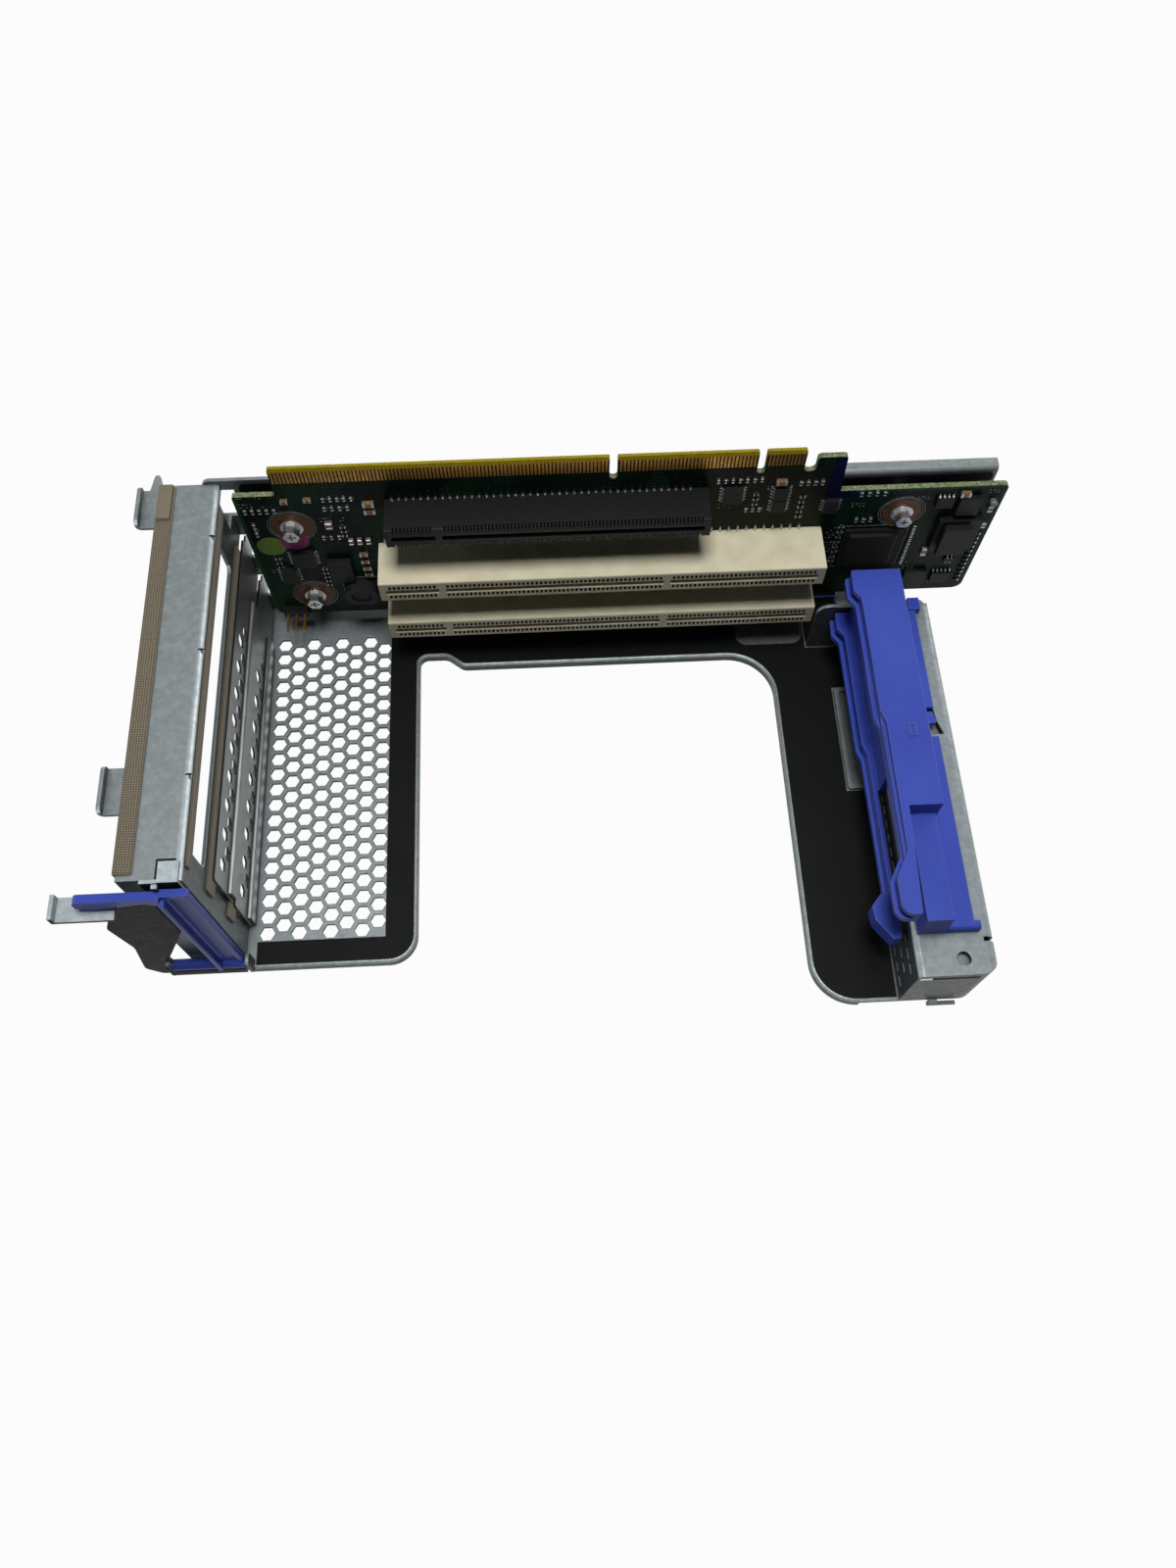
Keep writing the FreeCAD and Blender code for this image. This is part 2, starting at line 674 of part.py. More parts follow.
def latch_bracket():
    plate_left = bracket_left - END_PLATE_REACH
    seat = block(bracket_left, bracket_right, bracket_y, SLOT_WALL_FRONT, -LIP_DROP, strip_top + SHEET / 2)
    fold_left = bracket_right - 5.0
    fold = block(fold_left, bracket_right, bracket_y, SLOT_WALL_FRONT + 4.4, strip_top, strip_top + 0.8)
    side_low = 0.6 * END_PLATE_TOP
    side = block(bracket_left, bracket_left + SHEET, end_plate_y, SLOT_WALL_FRONT, side_low, END_PLATE_TOP)
    corners = [
        (toe_left + 0.6 * SHEET, -LIP_DROP),
        (toe_left + 0.6 * SHEET, EAR_HEIGHT),
        (bracket_left + SHEET, side_low),
        (bracket_left + SHEET, END_PLATE_TOP),
        (plate_left + 8.4, END_PLATE_TOP, 3.0),
        (plate_left + 1.6, 0.7 * END_PLATE_TOP, 6.0),
        (plate_left + 3.2, 0.4 * END_PLATE_TOP, 14.0),
        (plate_left, 0.06 * END_PLATE_TOP, 4.0),
        (plate_left + 3.5, -LIP_DROP, 1.5),
    ]
    end_plate = cross_plate(corners, end_plate_y - SHEET, end_plate_y)
    toe = block(toe_left, SLOT_WALL_X, LEFT_LEG_FRONT, SLOT_WALL_FRONT, 0, SHEET)
    toe_lip = block(toe_left, SLOT_WALL_X, LEFT_LEG_FRONT, LEFT_LEG_FRONT + SHEET, -LIP_DROP, SHEET)
    hook_low = END_PLATE_TOP - SHEET
    hook_tip = plate_left - 5.6
    hook_front = end_plate_y - 4.4
    hook_back = end_plate_y + 1.9
    hook_tab = block(hook_tip, plate_left + 9.4, hook_front, hook_back, hook_low, END_PLATE_TOP)
    hook_lip = block(hook_tip, hook_tip + SHEET, hook_front, hook_back, hook_low, hook_low + HOOK_LIP)
    catch_low = strip_top - SHEET
    catch = block(fold_left - 1.4, fold_left, bracket_y - 1.2, SLOT_WALL_FRONT, catch_low, strip_top)
    shapes = [seat, fold, side, end_plate, toe, toe_lip, hook_tab, hook_lip, catch, latch_ear(toe_left)]
    pin_hole = rod(LATCH_PIN_R + PIN_HOLE_GAP, (toe_left - 1, latch_y, LATCH_AXIS_Z), (1, 0, 0), 3 * SHEET)
    return joined(shapes).cut(pin_hole)


def latch_pin():
    return rod(LATCH_PIN_R, (toe_left, latch_y, LATCH_AXIS_Z), (1, 0, 0), right_ear_x + SHEET - toe_left)


# Bracket latch: a moulded lever with a channel-shaped leg, hinged at its foot, and a finger arm at its head
def bracket_latch():
    left = latch_right - LATCH_WIDTH
    back = bracket_y - LATCH_FRONT_GAP
    front = back - LATCH_DEPTH
    right_front = back - LATCH_RIGHT_DEPTH
    web = back - LATCH_WALL
    section = [
        (left, front, 0.4),
        (left + LATCH_WALL, front, 0.4),
        (left + LATCH_WALL, web, 0.6),
        (latch_right - LATCH_WALL, web, 0.6),
        (latch_right - LATCH_WALL, right_front),
        (latch_right, right_front),
        (latch_right, back, 0.5),
        (left, back, 0.5),
    ]
    leg = flat_plate(section, LATCH_AXIS_Z, LATCH_TOP)
    cap = block(left, latch_right, right_front, back, LATCH_TOP - 1.5 * LATCH_WALL, LATCH_TOP)
    slope = cross_plate(
        [
            (left - 1, LATCH_TOP + 1),
            (left - 1, LATCH_TOP - 1.5 * LATCH_WALL),
            (left + 2 * LATCH_WALL, LATCH_TOP - 1.5 * LATCH_WALL),
            (left + 2 * LATCH_WALL, LATCH_TOP + 1),
        ],
        front - 1,
        right_front,
    )
    leg = leg.cut(slope)
    arm_left = left - ARM_REACH
    corners = [
        (arm_left, LATCH_TOP - 0.7 * ARM_HEIGHT, 1.0),
        (arm_left + 3.0, LATCH_TOP - ARM_HEIGHT, 1.5),
        (left - 4.0, LATCH_TOP - 0.45 * ARM_HEIGHT),
        (left + 0.5, LATCH_TOP - 0.8 * ARM_HEIGHT),
        (left + 0.5, LATCH_TOP),
        (arm_left, LATCH_TOP, 1.5),
    ]
    arm = cross_plate(corners, back - LATCH_FRONT_GAP - ARM_T, back - LATCH_FRONT_GAP)
    barrel_left = toe_left + SHEET + LATCH_SIDE_GAP
    barrel = rod(LATCH_BARREL_R, (barrel_left, latch_y, LATCH_AXIS_Z), (1, 0, 0), latch_right - barrel_left)
    latch = joined([leg, cap, arm, barrel])
    bore_r = LATCH_PIN_R + LATCH_RUNNING_GAP
    bore_length = latch_right - barrel_left + 2
    return latch.cut(rod(bore_r, (barrel_left - 1, latch_y, LATCH_AXIS_Z), (1, 0, 0), bore_length))


# Riser board with its plated tongue
def riser_board():
    shoulder = top_slot + LEFT_SHOULDER_RISE
    right_shoulder = top_slot + RIGHT_SHOULDER_RISE
    root = top_slot + TONGUE_ROOT_RISE
    top = top_slot + TONGUE_RISE
    second_key = PCI_LENGTH - SECOND_KEY_INSET
    tab_left = tongue_right + TAB_GAP
    tab_right = tab_left + TAB_WIDTH
    tab_top = top_slot + TAB_RISE
    corners = [
        (board_left, board_bottom, BOARD_CORNER),
        (board_right, board_bottom, BOARD_CORNER),
        (board_right, right_shoulder, 1.5),
        (tab_right + 0.6, right_shoulder),
        (tab_right, tab_top, 1.0),
        (tab_left, tab_top, 1.0),
        (tab_left, root, 1.5),
        (tongue_right, root, 1.5),
        (tongue_right, top, 0.8),
        (second_key + KEY_WIDTH, top, 0.5),
        (second_key + KEY_WIDTH, root, 1.0),
        (second_key, root, 1.0),
        (second_key, top, 0.5),
        (FIRST_KEY_X + KEY_WIDTH, top, 0.5),
        (FIRST_KEY_X + KEY_WIDTH, root, 1.0),
        (FIRST_KEY_X, root, 1.0),
        (FIRST_KEY_X, top, 0.5),
        (TONGUE_LEFT, top, 0.8),
        (TONGUE_LEFT, shoulder, 1.0),
        (board_left, shoulder, 0.8),
    ]
    board = cross_plate(corners, 0, BOARD_T)
    cuts = [rod(BOARD_HOLE_R, (x, -1, z), (0, 1, 0), BOARD_T + 2) for x, z in screw_places]
    for face, inward in ((0, 1), (BOARD_T, -1)):
        wedge = [
            (face - inward * TONGUE_BEVEL_DEPTH, top - 2 * TONGUE_BEVEL),
            (face + inward * 2 * TONGUE_BEVEL_DEPTH, top + TONGUE_BEVEL),
            (face - inward * BOARD_T, top + TONGUE_BEVEL),
        ]
        cuts.append(side_plate(wedge, TONGUE_LEFT - 1, tongue_right + 1))
    return board.cut(cuts)


def edge_contacts():
    """Plated finger zones on both faces of the tongue, between its key notches."""
    second_key = PCI_LENGTH - SECOND_KEY_INSET
    top = top_slot + TONGUE_RISE - TONGUE_BEVEL
    ends = [
        (TONGUE_LEFT, FIRST_KEY_X),
        (FIRST_KEY_X + KEY_WIDTH, second_key),
        (second_key + KEY_WIDTH, tongue_right),
    ]
    zones = []
    for x0, x1 in ends:
        for y0 in (-PLATING, BOARD_T):
            zones.append(block(x0 + 0.5, x1 - 0.5, y0, y0 + PLATING, top - FINGER_HEIGHT, top))
    return Part.makeCompound(zones)


def standoffs():
    """Six-sided spacers pressed into the back wall."""
    posts = []
    for x, z in screw_places:
        post = hex_bar(STANDOFF_R, x, z, BOARD_T, wall_y)
        posts.append(post.cut(rod(SCREW_R + THREAD_GAP, (x, BOARD_T - 1, z), (0, 1, 0), STANDOFF_LENGTH + 2)))
    return Part.makeCompound(posts)


def hex_bar(radius, x, z, y0, y1):
    """Six-sided bar along Y."""
    corners = []
    for k in range(6):
        corners.append((x + radius * math.cos(k * math.pi / 3), z + radius * math.sin(k * math.pi / 3)))
    return cross_plate(corners, y0, y1)


def board_screws():
    """Screws with a round flange and a tall six-sided head with a cross recess."""
    screws = []
    end = -SCREW_FLANGE_T - SCREW_HEAD_H
    for x, z in screw_places:
        flange = rod(SCREW_FLANGE_R, (x, -SCREW_FLANGE_T, z), (0, 1, 0), SCREW_FLANGE_T)
        head = hex_bar(SCREW_HEAD_R, x, z, end, -0.5 * SCREW_FLANGE_T)
        shank = rod(SCREW_R, (x, -0.5 * SCREW_FLANGE_T, z), (0, 1, 0), BOARD_T + 0.85 * STANDOFF_LENGTH)
        half = 0.55 * SCREW_HEAD_R
        arm = 0.14 * SCREW_HEAD_R
        deep = end + 0.4 * SCREW_HEAD_H
        recess = [
            block(x - half, x + half, end - 1, deep, z - arm, z + arm),
            block(x - arm, x + arm, end - 1, deep, z - half, z + half),
        ]
        screws.append(joined([flange, head, shank]).cut(recess))
    return Part.makeCompound(screws)


# Card sockets: moulded housings with a keyed card slot, and the contact rows inside
def socket(x0, length, width, height, z, slot_inset, keys):
    """Socket housing on the board's front face, with its card slot cut between the keys."""
    housing = block(x0, x0 + length, -height, 0, z - width / 2, z + width / 2)
    housing = rounded(housing, MOUTH_CHAMFER, lambda m, t: near(m.y, -height) and abs(t.x) > 0.9)
    half = SLOT_WIDTH / 2
    cuts = []
    for start, stop in slot_runs(x0, length, slot_inset, keys):
        cuts.append(block(start, stop, -height - 1, -SLOT_BOTTOM, z - half, z + half))
    return housing.cut(cuts)


def slot_runs(x0, length, slot_inset, keys):
    """Stretches of a card slot between its ends and its keys."""
    starts = [x0 + slot_inset] + [x0 + key + SLOT_KEY_WIDTH / 2 for key in keys]
    stops = [x0 + key - SLOT_KEY_WIDTH / 2 for key in keys] + [x0 + length - slot_inset]
    return list(zip(starts, stops))


def contact_rows(x0, length, height, z, slot_inset, keys):
    """Contact rows along both walls of a card slot."""
    half = SLOT_WIDTH / 2
    rows = []
    for start, stop in slot_runs(x0, length, slot_inset, keys):
        for low in (z - half, z + half - CONTACT_T):
            rows.append(
                block(start + 0.6, stop - 0.6, -height + CONTACT_SETBACK, -SLOT_BOTTOM, low, low + CONTACT_T)
            )
    return Part.makeCompound(rows)


# Small parts on the board's front face, given by left end, bottom, width, height and thickness
def on_board(x, z, width, height, thickness):
    return block(x, x + width, -thickness, 0, z, z + height)


bridge_size = 17.4
bridge_left = PCI_LENGTH + 7.5
bridge_low = slot_z[0] + 5.5
BRIDGE_CARRIER_T = 0.9
BRIDGE_T = 1.8
BRIDGE_CAP_INSET = 1.5
BRIDGE_CAP_BEVEL = 0.6


def bridge_chip():
    """Square chip: a flat carrier with a smaller moulded cap, bevelled along its front edges."""
    carrier = on_board(bridge_left, bridge_low, bridge_size, bridge_size, BRIDGE_CARRIER_T)
    inset = BRIDGE_CAP_INSET
    cap_size = bridge_size - 2 * inset
    cap = on_board(bridge_left + inset, bridge_low + inset, cap_size, cap_size, BRIDGE_T)
    front_edges = [edge for edge in cap.Edges if near(edge.CenterOfMass.y, -BRIDGE_T)]
    return joined([carrier, cap.makeChamfer(BRIDGE_CAP_BEVEL, front_edges)])


def logic_chips():
    upper = top_slot - 3.5
    places = [
        (-25.8, slot_z[1] - 4.6, 6.6, 6.8, 1.5),
        (-30.4, slot_z[0] + 7.6, 4.4, 6.6, 1.5),
        (express_right + 4.3, upper + 1.0, 5.4, 6.2, 1.4),
        (express_right + 18.6, upper + 1.4, 3.9, 5.2, 1.2),
        (express_right + 18.6, upper - 3.9, 3.9, 4.8, 1.2),
        (express_right + 33.5, upper - 5.1, 4.0, 5.4, 1.2),
        (board_right - 19.3, upper - 4.8, 4.9, 4.1, 1.2),
        (board_right - 11.5, slot_z[0] - 4.9, 5.8, 4.8, 1.2),
        (board_right - 9.5, slot_z[0] + 5.0, 3.0, 2.1, 0.8),
    ]
    return Part.makeCompound([on_board(*place) for place in places])


def power_blocks():
    places = [
        (-16.0, slot_z[0] + 8.2, 6.8, 9.6, 2.0),
        (board_right - 12.8, top_slot - 11.4, 6.3, 7.2, 1.6),
        (board_right - 20.3, slot_z[0] - 7.2, 6.8, 8.4, 1.2),
    ]
    return Part.makeCompound([on_board(*place) for place in places] + [drum_coil()])


DRUM_T = 4.6
DRUM_FOOT_T = 2.0
DRUM_FLANGE_T = 1.6


def drum_coil():
    """Drum-shaped coil: a wide foot on the board, a winding neck and a smaller front flange."""
    left = board_right - 16.4
    low = slot_z[0] + 12.9
    foot = on_board(left, low, 12.7, 14.3, DRUM_FOOT_T)
    neck = on_board(left + 2.1, low + 2.3, 7.2, 10.3, DRUM_T - DRUM_FLANGE_T / 2)
    flange = block(left + 1.3, left + 9.8, -DRUM_T, DRUM_FLANGE_T - DRUM_T, low + 1.5, low + 13.4)
    return joined([foot, neck, flange])


def inductor():
    """Flat power inductor: a block with rounded ends and a round winding window."""
    x = -8.2
    z = slot_z[0] + 3.4
    corners = [
        (x - 4.9, z - 4.0, 3.0),
        (x + 4.9, z - 4.0, 3.0),
        (x + 4.9, z + 4.0, 3.0),
        (x - 4.9, z + 4.0, 3.0),
    ]
    body = cross_plate(corners, -4.0, 0)
    return body.cut(rod(3.1, (x, -5.0, z), (0, 1, 0), 1.5))


def can_capacitor():
    centre = (board_right - 2.8, 0, top_slot - 6.8)
    can = rod(1.1, centre, (0, -1, 0), 1.8)
    return can.makeChamfer(0.2, [rim(can, -1.8)])


def ceramic_capacitors():
    top = top_slot + 4.0
    row = slot_z[1] + 5.2
    places = [
        (-23.6, top, 2.0, 1.3, 1.1),
        (-17.2, top + 0.4, 2.0, 1.3, 1.1),
        (-13.4, top_slot - 7.2, 2.0, 2.4, 1.3),
        (-1.7, top - 2.4, 3.2, 1.7, 1.3),
        (-1.7, top - 5.4, 3.2, 1.7, 1.3),
        (express_right + 18.5, top + 0.6, 3.0, 1.6, 1.3),
        (board_right - 13.2, top_slot - 3.8, 2.9, 1.8, 1.2),
        (board_right - 3.5, top_slot - 11.2, 1.6, 2.4, 0.9),
        (board_right - 3.6, slot_z[1] + 1.7, 1.9, 2.0, 0.9),
        (board_right - 17.7, slot_z[0] + 9.0, 1.7, 3.6, 0.8),
    ]
    for column in range(3):
        places.append((-8.2 + 2.5 * column, row, 1.3, 2.0, 1.1))
    for step in range(4):
        places.append((-6.2, slot_z[1] - 0.9 - 3.4 * step, 2.4, 1.3, 1.1))
    return Part.makeCompound([on_board(*place) for place in places])


def chip_resistors():
    places = []
    for step in range(12):
        places.append((board_right - 3.5, slot_z[0] - 5.5 + 2.15 * step, 1.6, 0.9, 0.5))
    for step in range(11):
        places.append((bridge_left + bridge_size + 2.5, bridge_low - 0.8 + 1.75 * step, 0.9, 1.2, 0.5))
    for step in range(5):
        places.append((-34.6 + 2.0 * step, top_slot - 0.4, 0.8, 1.6, 0.5))
    return Part.makeCompound([on_board(*place) for place in places])


header_z = board_bottom + 1.6
header_left = board_left + 2.6
PIN_PITCH = 2.54
PIN_COUNT = 3
PIN_SIDE = 0.64
HEADER_HEIGHT = 2.5
HEADER_WIDTH = 2.6
PIN_LENGTH = 8.6


def pin_header():
    base = on_board(header_left, header_z, PIN_PITCH * PIN_COUNT, HEADER_WIDTH, HEADER_HEIGHT)
    return base.cut(header_pins().Solids)


def header_pins():
    pins = []
    z = header_z + HEADER_WIDTH / 2 - PIN_SIDE / 2
    for i in range(PIN_COUNT):
        x = header_left + PIN_PITCH * (i + 0.5) - PIN_SIDE / 2
        pins.append(on_board(x, z, PIN_SIDE, PIN_SIDE, PIN_LENGTH))
    return Part.makeCompound(pins)


# Card support box: folded channel on the right leg, with an ear at its back end and a foot on the base
def support_box():
    back = BOX_BACK - SHEET
    front = RIGHT_LEG_FRONT
    plan = flat_plate(
        [
            (box_left, BOX_BACK),
            (box_left, front),
            (box_right, front, BOX_CORNER),
            (box_right, BOX_BACK),
        ],
        SHEET,
        box_top,
    )
    profile = cross_plate(
        [
            (box_left, SHEET),
            (box_right, SHEET),
            (box_right, box_top, BOX_BEND),
            (box_left, box_top, BEND),
        ],
        front,
        BOX_BACK,
    )
    shell = plan.common(profile)
    hollow = flat_plate(
        [
            (box_left + SHEET, back),
            (box_left + SHEET, front + SHEET),
            (box_right - SHEET, front + SHEET, BOX_CORNER - SHEET),
            (box_right - SHEET, back),
        ],
        0,
        box_top - SHEET,
    )
    vents = []
    for row in range(BOX_VENT_ROWS):
        for column in range(BOX_VENT_COLUMNS):
            y = front + 3.0 + BOX_VENT_PITCH * (column + 0.5 * (row % 2))
            z = SHEET + 3.4 + 0.26 * BOX_HEIGHT * row
            vents.append(
                block(box_left - 1, box_left + 2 * SHEET, y, y + BOX_VENT_LENGTH, z, z + BOX_VENT_HEIGHT)
            )
    chamfer = flat_plate(
        [(box_right - 3.6, BOX_BACK + 1), (box_right + 1, BOX_BACK + 1), (box_right + 1, BOX_BACK - 3.6)],
        box_top - 2 * SHEET,
        box_top + 1,
    )
    relief_y = front + BOX_RELIEF_FROM_FRONT
    relief = block(box_right - 3.0, box_right + 1, relief_y, relief_y + 1.2, box_top - 4.0, box_top + 1)
    hole = rod(
        BOX_HOLE_R,
        (box_left + BOX_HOLE_FROM_LEFT, front + BOX_HOLE_FROM_FRONT, box_top - 2 * SHEET),
        (0, 0, 1),
        4 * SHEET,
    )
    snap_right = box_left + GUIDE_LEDGE_RIGHT
    snap = flat_plate(
        [
            (snap_right - 3.4, SNAP_BACK),
            (snap_right + 0.2, SNAP_BACK),
            (snap_right + 0.8, SNAP_BACK - 4.6),
            (snap_right + 2.1, SNAP_FRONT + 0.4),
            (snap_right - 3.4, SNAP_FRONT),
        ],
        box_top - 2 * SHEET,
        box_top + 1,
    )
    gap_right = box_left + 5.0
    gap_low = box_top - 2.9
    corner_gap = block(box_left + 1.2, gap_right, front - 1, front + SHEET / 2, gap_low, box_top - 1.6)
    seam = block(gap_right, box_right - BOX_CORNER, front - 1, front + 2 * SHEET, gap_low, box_top - 2.1)
    box = shell.cut([hollow, chamfer, relief, hole, snap, corner_gap, seam] + vents)
    ear_left = box_left - EAR_REACH
    ear = cross_plate(
        [
            (ear_left, SHEET),
            (box_left + SHEET, SHEET),
            (box_left + SHEET, box_top - BEND),
            (ear_left, box_top, 4.0),
        ],
        back,
        BOX_BACK,
    )
    foot_left = box_left - BOX_FOOT_REACH
    foot = flat_plate(
        [
            (foot_left, BOX_FOOT_FRONT, 0.8),
            (box_left + SHEET, BOX_FOOT_FRONT),
            (box_left + SHEET, BOX_FOOT_BACK),
            (foot_left, BOX_FOOT_BACK, 0.8),
        ],
        SHEET,
        2 * SHEET,
    )
    dish = flat_plate(
        [
            (foot_left + BOX_FOOT_RIM, BOX_FOOT_FRONT + BOX_FOOT_RIM, 1.2),
            (box_left, BOX_FOOT_FRONT + BOX_FOOT_RIM),
            (box_left, BOX_FOOT_BACK - BOX_FOOT_RIM),
            (foot_left + BOX_FOOT_RIM, BOX_FOOT_BACK - BOX_FOOT_RIM, 1.2),
        ],
        1.2 * SHEET,
        3 * SHEET,
    )
    seat_top = box_top - SNAP_SEAT_DEPTH
    seat_right = box_right - SHEET / 2
    seat = block(snap_right - 6.0, seat_right, SNAP_FRONT - 1, SNAP_BACK + 3, seat_top - SHEET, seat_top)
    return joined([box, ear, foot.cut(dish), seat])


# Card guide: one moulding that sits on the box, with a grooved tier for each of the two lower cards
card_end = PCI_LENGTH + CARD_END_PAST_SLOTS
web_right = box_left - GUIDE_WALL_GAP
web_left = web_right - GUIDE_WEB


def tier_edge(shift):
    """Left edge of a tier, from its wide head at the back to the start of its finger."""
    return [
        (card_end + shift + 0.2, GUIDE_BACK, 0.6),
        (card_end + shift, GUIDE_BACK - 6.6, 0.8),
        (card_end + shift + 1.9, GUIDE_BACK - 9.2, 0.8),
        (card_end + shift + 1.9, GUIDE_BACK - 45.8, 0.8),
        (card_end + shift + 3.0, GUIDE_BACK - 49.0, 0.8),
    ]


def tier(corners_at, slot, groove_front):
    """Grooved tier round a card plane: the upper lip is set back from the lower one."""
    half = GROOVE / 2
    far = 2 * PCI_LENGTH
    lower = flat_plate(corners_at(0), slot - half - GUIDE_LIP, slot + half)
    upper = flat_plate(corners_at(GUIDE_LIP_SETBACK), slot + half, slot + half + GUIDE_LIP)
    groove_end = card_end + GROOVE_DEPTH
    groove = block(card_end - far, groove_end, groove_front, 0, slot - half, slot + half)
    return joined([lower, upper]).cut(groove)


def lower_corners(setback):
    """Lower tier: the lips run along the web and end in a free finger with a six-sided tab."""
    finger_right = web_left - 0.4
    return tier_edge(setback - 0.8) + [
        (card_end + setback + 2.2, GUIDE_FRONT + 13.2),
        (card_end + 0.4, GUIDE_FRONT + 12.6, 0.8),
        (card_end - 2.2, GUIDE_FRONT + 9.6, 1.0),
        (card_end - 1.9, GUIDE_FRONT + 5.6, 0.8),
        (card_end + 2.2, GUIDE_FRONT, 0.6),
        (finger_right, GUIDE_FRONT, 0.6),
        (finger_right, GUIDE_WEB_FRONT),
        (web_right, GUIDE_WEB_FRONT),
        (web_right, GUIDE_BACK),
    ]


def upper_corners(setback):
    """Upper tier: a wide top plate and a free finger that ends in a rounded tab."""
    block_right = box_left + GUIDE_BLOCK_RIGHT
    finger_right = box_left - 0.4
    return tier_edge(setback) + [
        (card_end + setback + 2.8, GUIDE_FRONT + 17.2, 2.0),
        (card_end + setback - 1.0, GUIDE_FRONT + 10.2, 2.0),
        (card_end + setback - 1.0, GUIDE_FRONT, 3.2),
        (finger_right - 1.2, GUIDE_FRONT, 0.5),
        (finger_right, GUIDE_STEP_Y),
        (block_right, GUIDE_STEP_Y),
        (block_right, GUIDE_BACK),
    ]


def card_guide():
    half = GROOVE / 2
    plate_top = slot_z[1] + half + GUIDE_LIP
    plate_low = slot_z[1] - half - GUIDE_LIP
    tier_low = slot_z[0] - half - GUIDE_LIP
    step_top = plate_top - GUIDE_STEP_DROP
    block_left = box_left + GUIDE_SLIT
    block_right = box_left + GUIDE_BLOCK_RIGHT
    ledge_right = box_left + GUIDE_LEDGE_RIGHT
    ledge_top = box_top + GUIDE_LEDGE_T
    web = block(web_left, web_right, GUIDE_WEB_FRONT, GUIDE_BACK, tier_low, plate_low + GUIDE_LIP)
    bridge = block(web_left, block_right, GUIDE_WEB_FRONT, GUIDE_BACK, box_top, plate_low + GUIDE_LIP)
    body = block(block_left, block_right, GUIDE_STEP_Y, GUIDE_BACK, box_top, plate_low + GUIDE_LIP)
    front_block = block(block_left, block_right - 0.6, GUIDE_FRONT, GUIDE_STEP_Y, box_top, step_top)
    ledge = block(block_left, ledge_right, GUIDE_FRONT + 1.0, GUIDE_BACK - 3.4, box_top, ledge_top)
    lip_top = ledge_top + GUIDE_LIP_RISE
    lip = block(block_right - 1.0, ledge_right + 1.2, GUIDE_FRONT, GUIDE_FRONT + 2.6, box_top, lip_top)
    lip = rounded(lip, 1.1, lambda m, t: near(m.z, lip_top) and abs(t.x) > 0.9)
    clip_back = GUIDE_BACK - 0.4
    clip = block(ledge_right - 2.0, ledge_right + 1.4, clip_back - 4.0, clip_back, box_top, ledge_top + 0.8)
    notch_front = SNAP_FRONT - 1.1
    notch = block(ledge_right - 4.2, ledge_right + 1, notch_front, SNAP_BACK - 0.8, box_top - 1, ledge_top + 1)
    snap = flat_plate(
        [
            (ledge_right - 4.6, SNAP_BACK - 2.2),
            (ledge_right - 0.6, SNAP_BACK - 2.2),
            (ledge_right - 0.3, SNAP_BACK - 3.6),
            (ledge_right + 0.2, SNAP_BACK - 5.4),
            (ledge_right - 0.3, SNAP_BACK - 5.9),
            (ledge_right - 4.6, SNAP_BACK - 5.9),
        ],
        box_top,
        ledge_top,
    )
    upper = tier(upper_corners, slot_z[1], GUIDE_FRONT - 1)
    lower = tier(lower_corners, slot_z[0], GUIDE_FRONT + 14.0)
    frame_left = box_left + GUIDE_FRAME_X
    frame_right = frame_left + GUIDE_FRAME_WIDTH
    frame_back = GUIDE_FRAME_Y + GUIDE_FRAME_LENGTH
    frame_top = plate_top + GUIDE_FRAME_RISE
    frame = block(frame_left, frame_right, GUIDE_FRAME_Y, frame_back, plate_top - 0.1, frame_top)
    frame_well = block(
        frame_left + GUIDE_FRAME_RIM,
        frame_right - GUIDE_FRAME_RIM,
        GUIDE_FRAME_Y + GUIDE_FRAME_RIM,
        frame_back - GUIDE_FRAME_RIM,
        plate_top,
        frame_top + 1,
    )
    ear_front = BOX_BACK - SHEET - 0.6
    ear_space = block(card_end - EAR_REACH, box_left + SHEET, ear_front, 0, 0, box_top + 0.2)
    shapes = [upper, lower, web, bridge, body, front_block, ledge.cut(notch), lip, clip, snap]
    return joined(shapes + [frame.cut(frame_well)]).cut(ear_space)


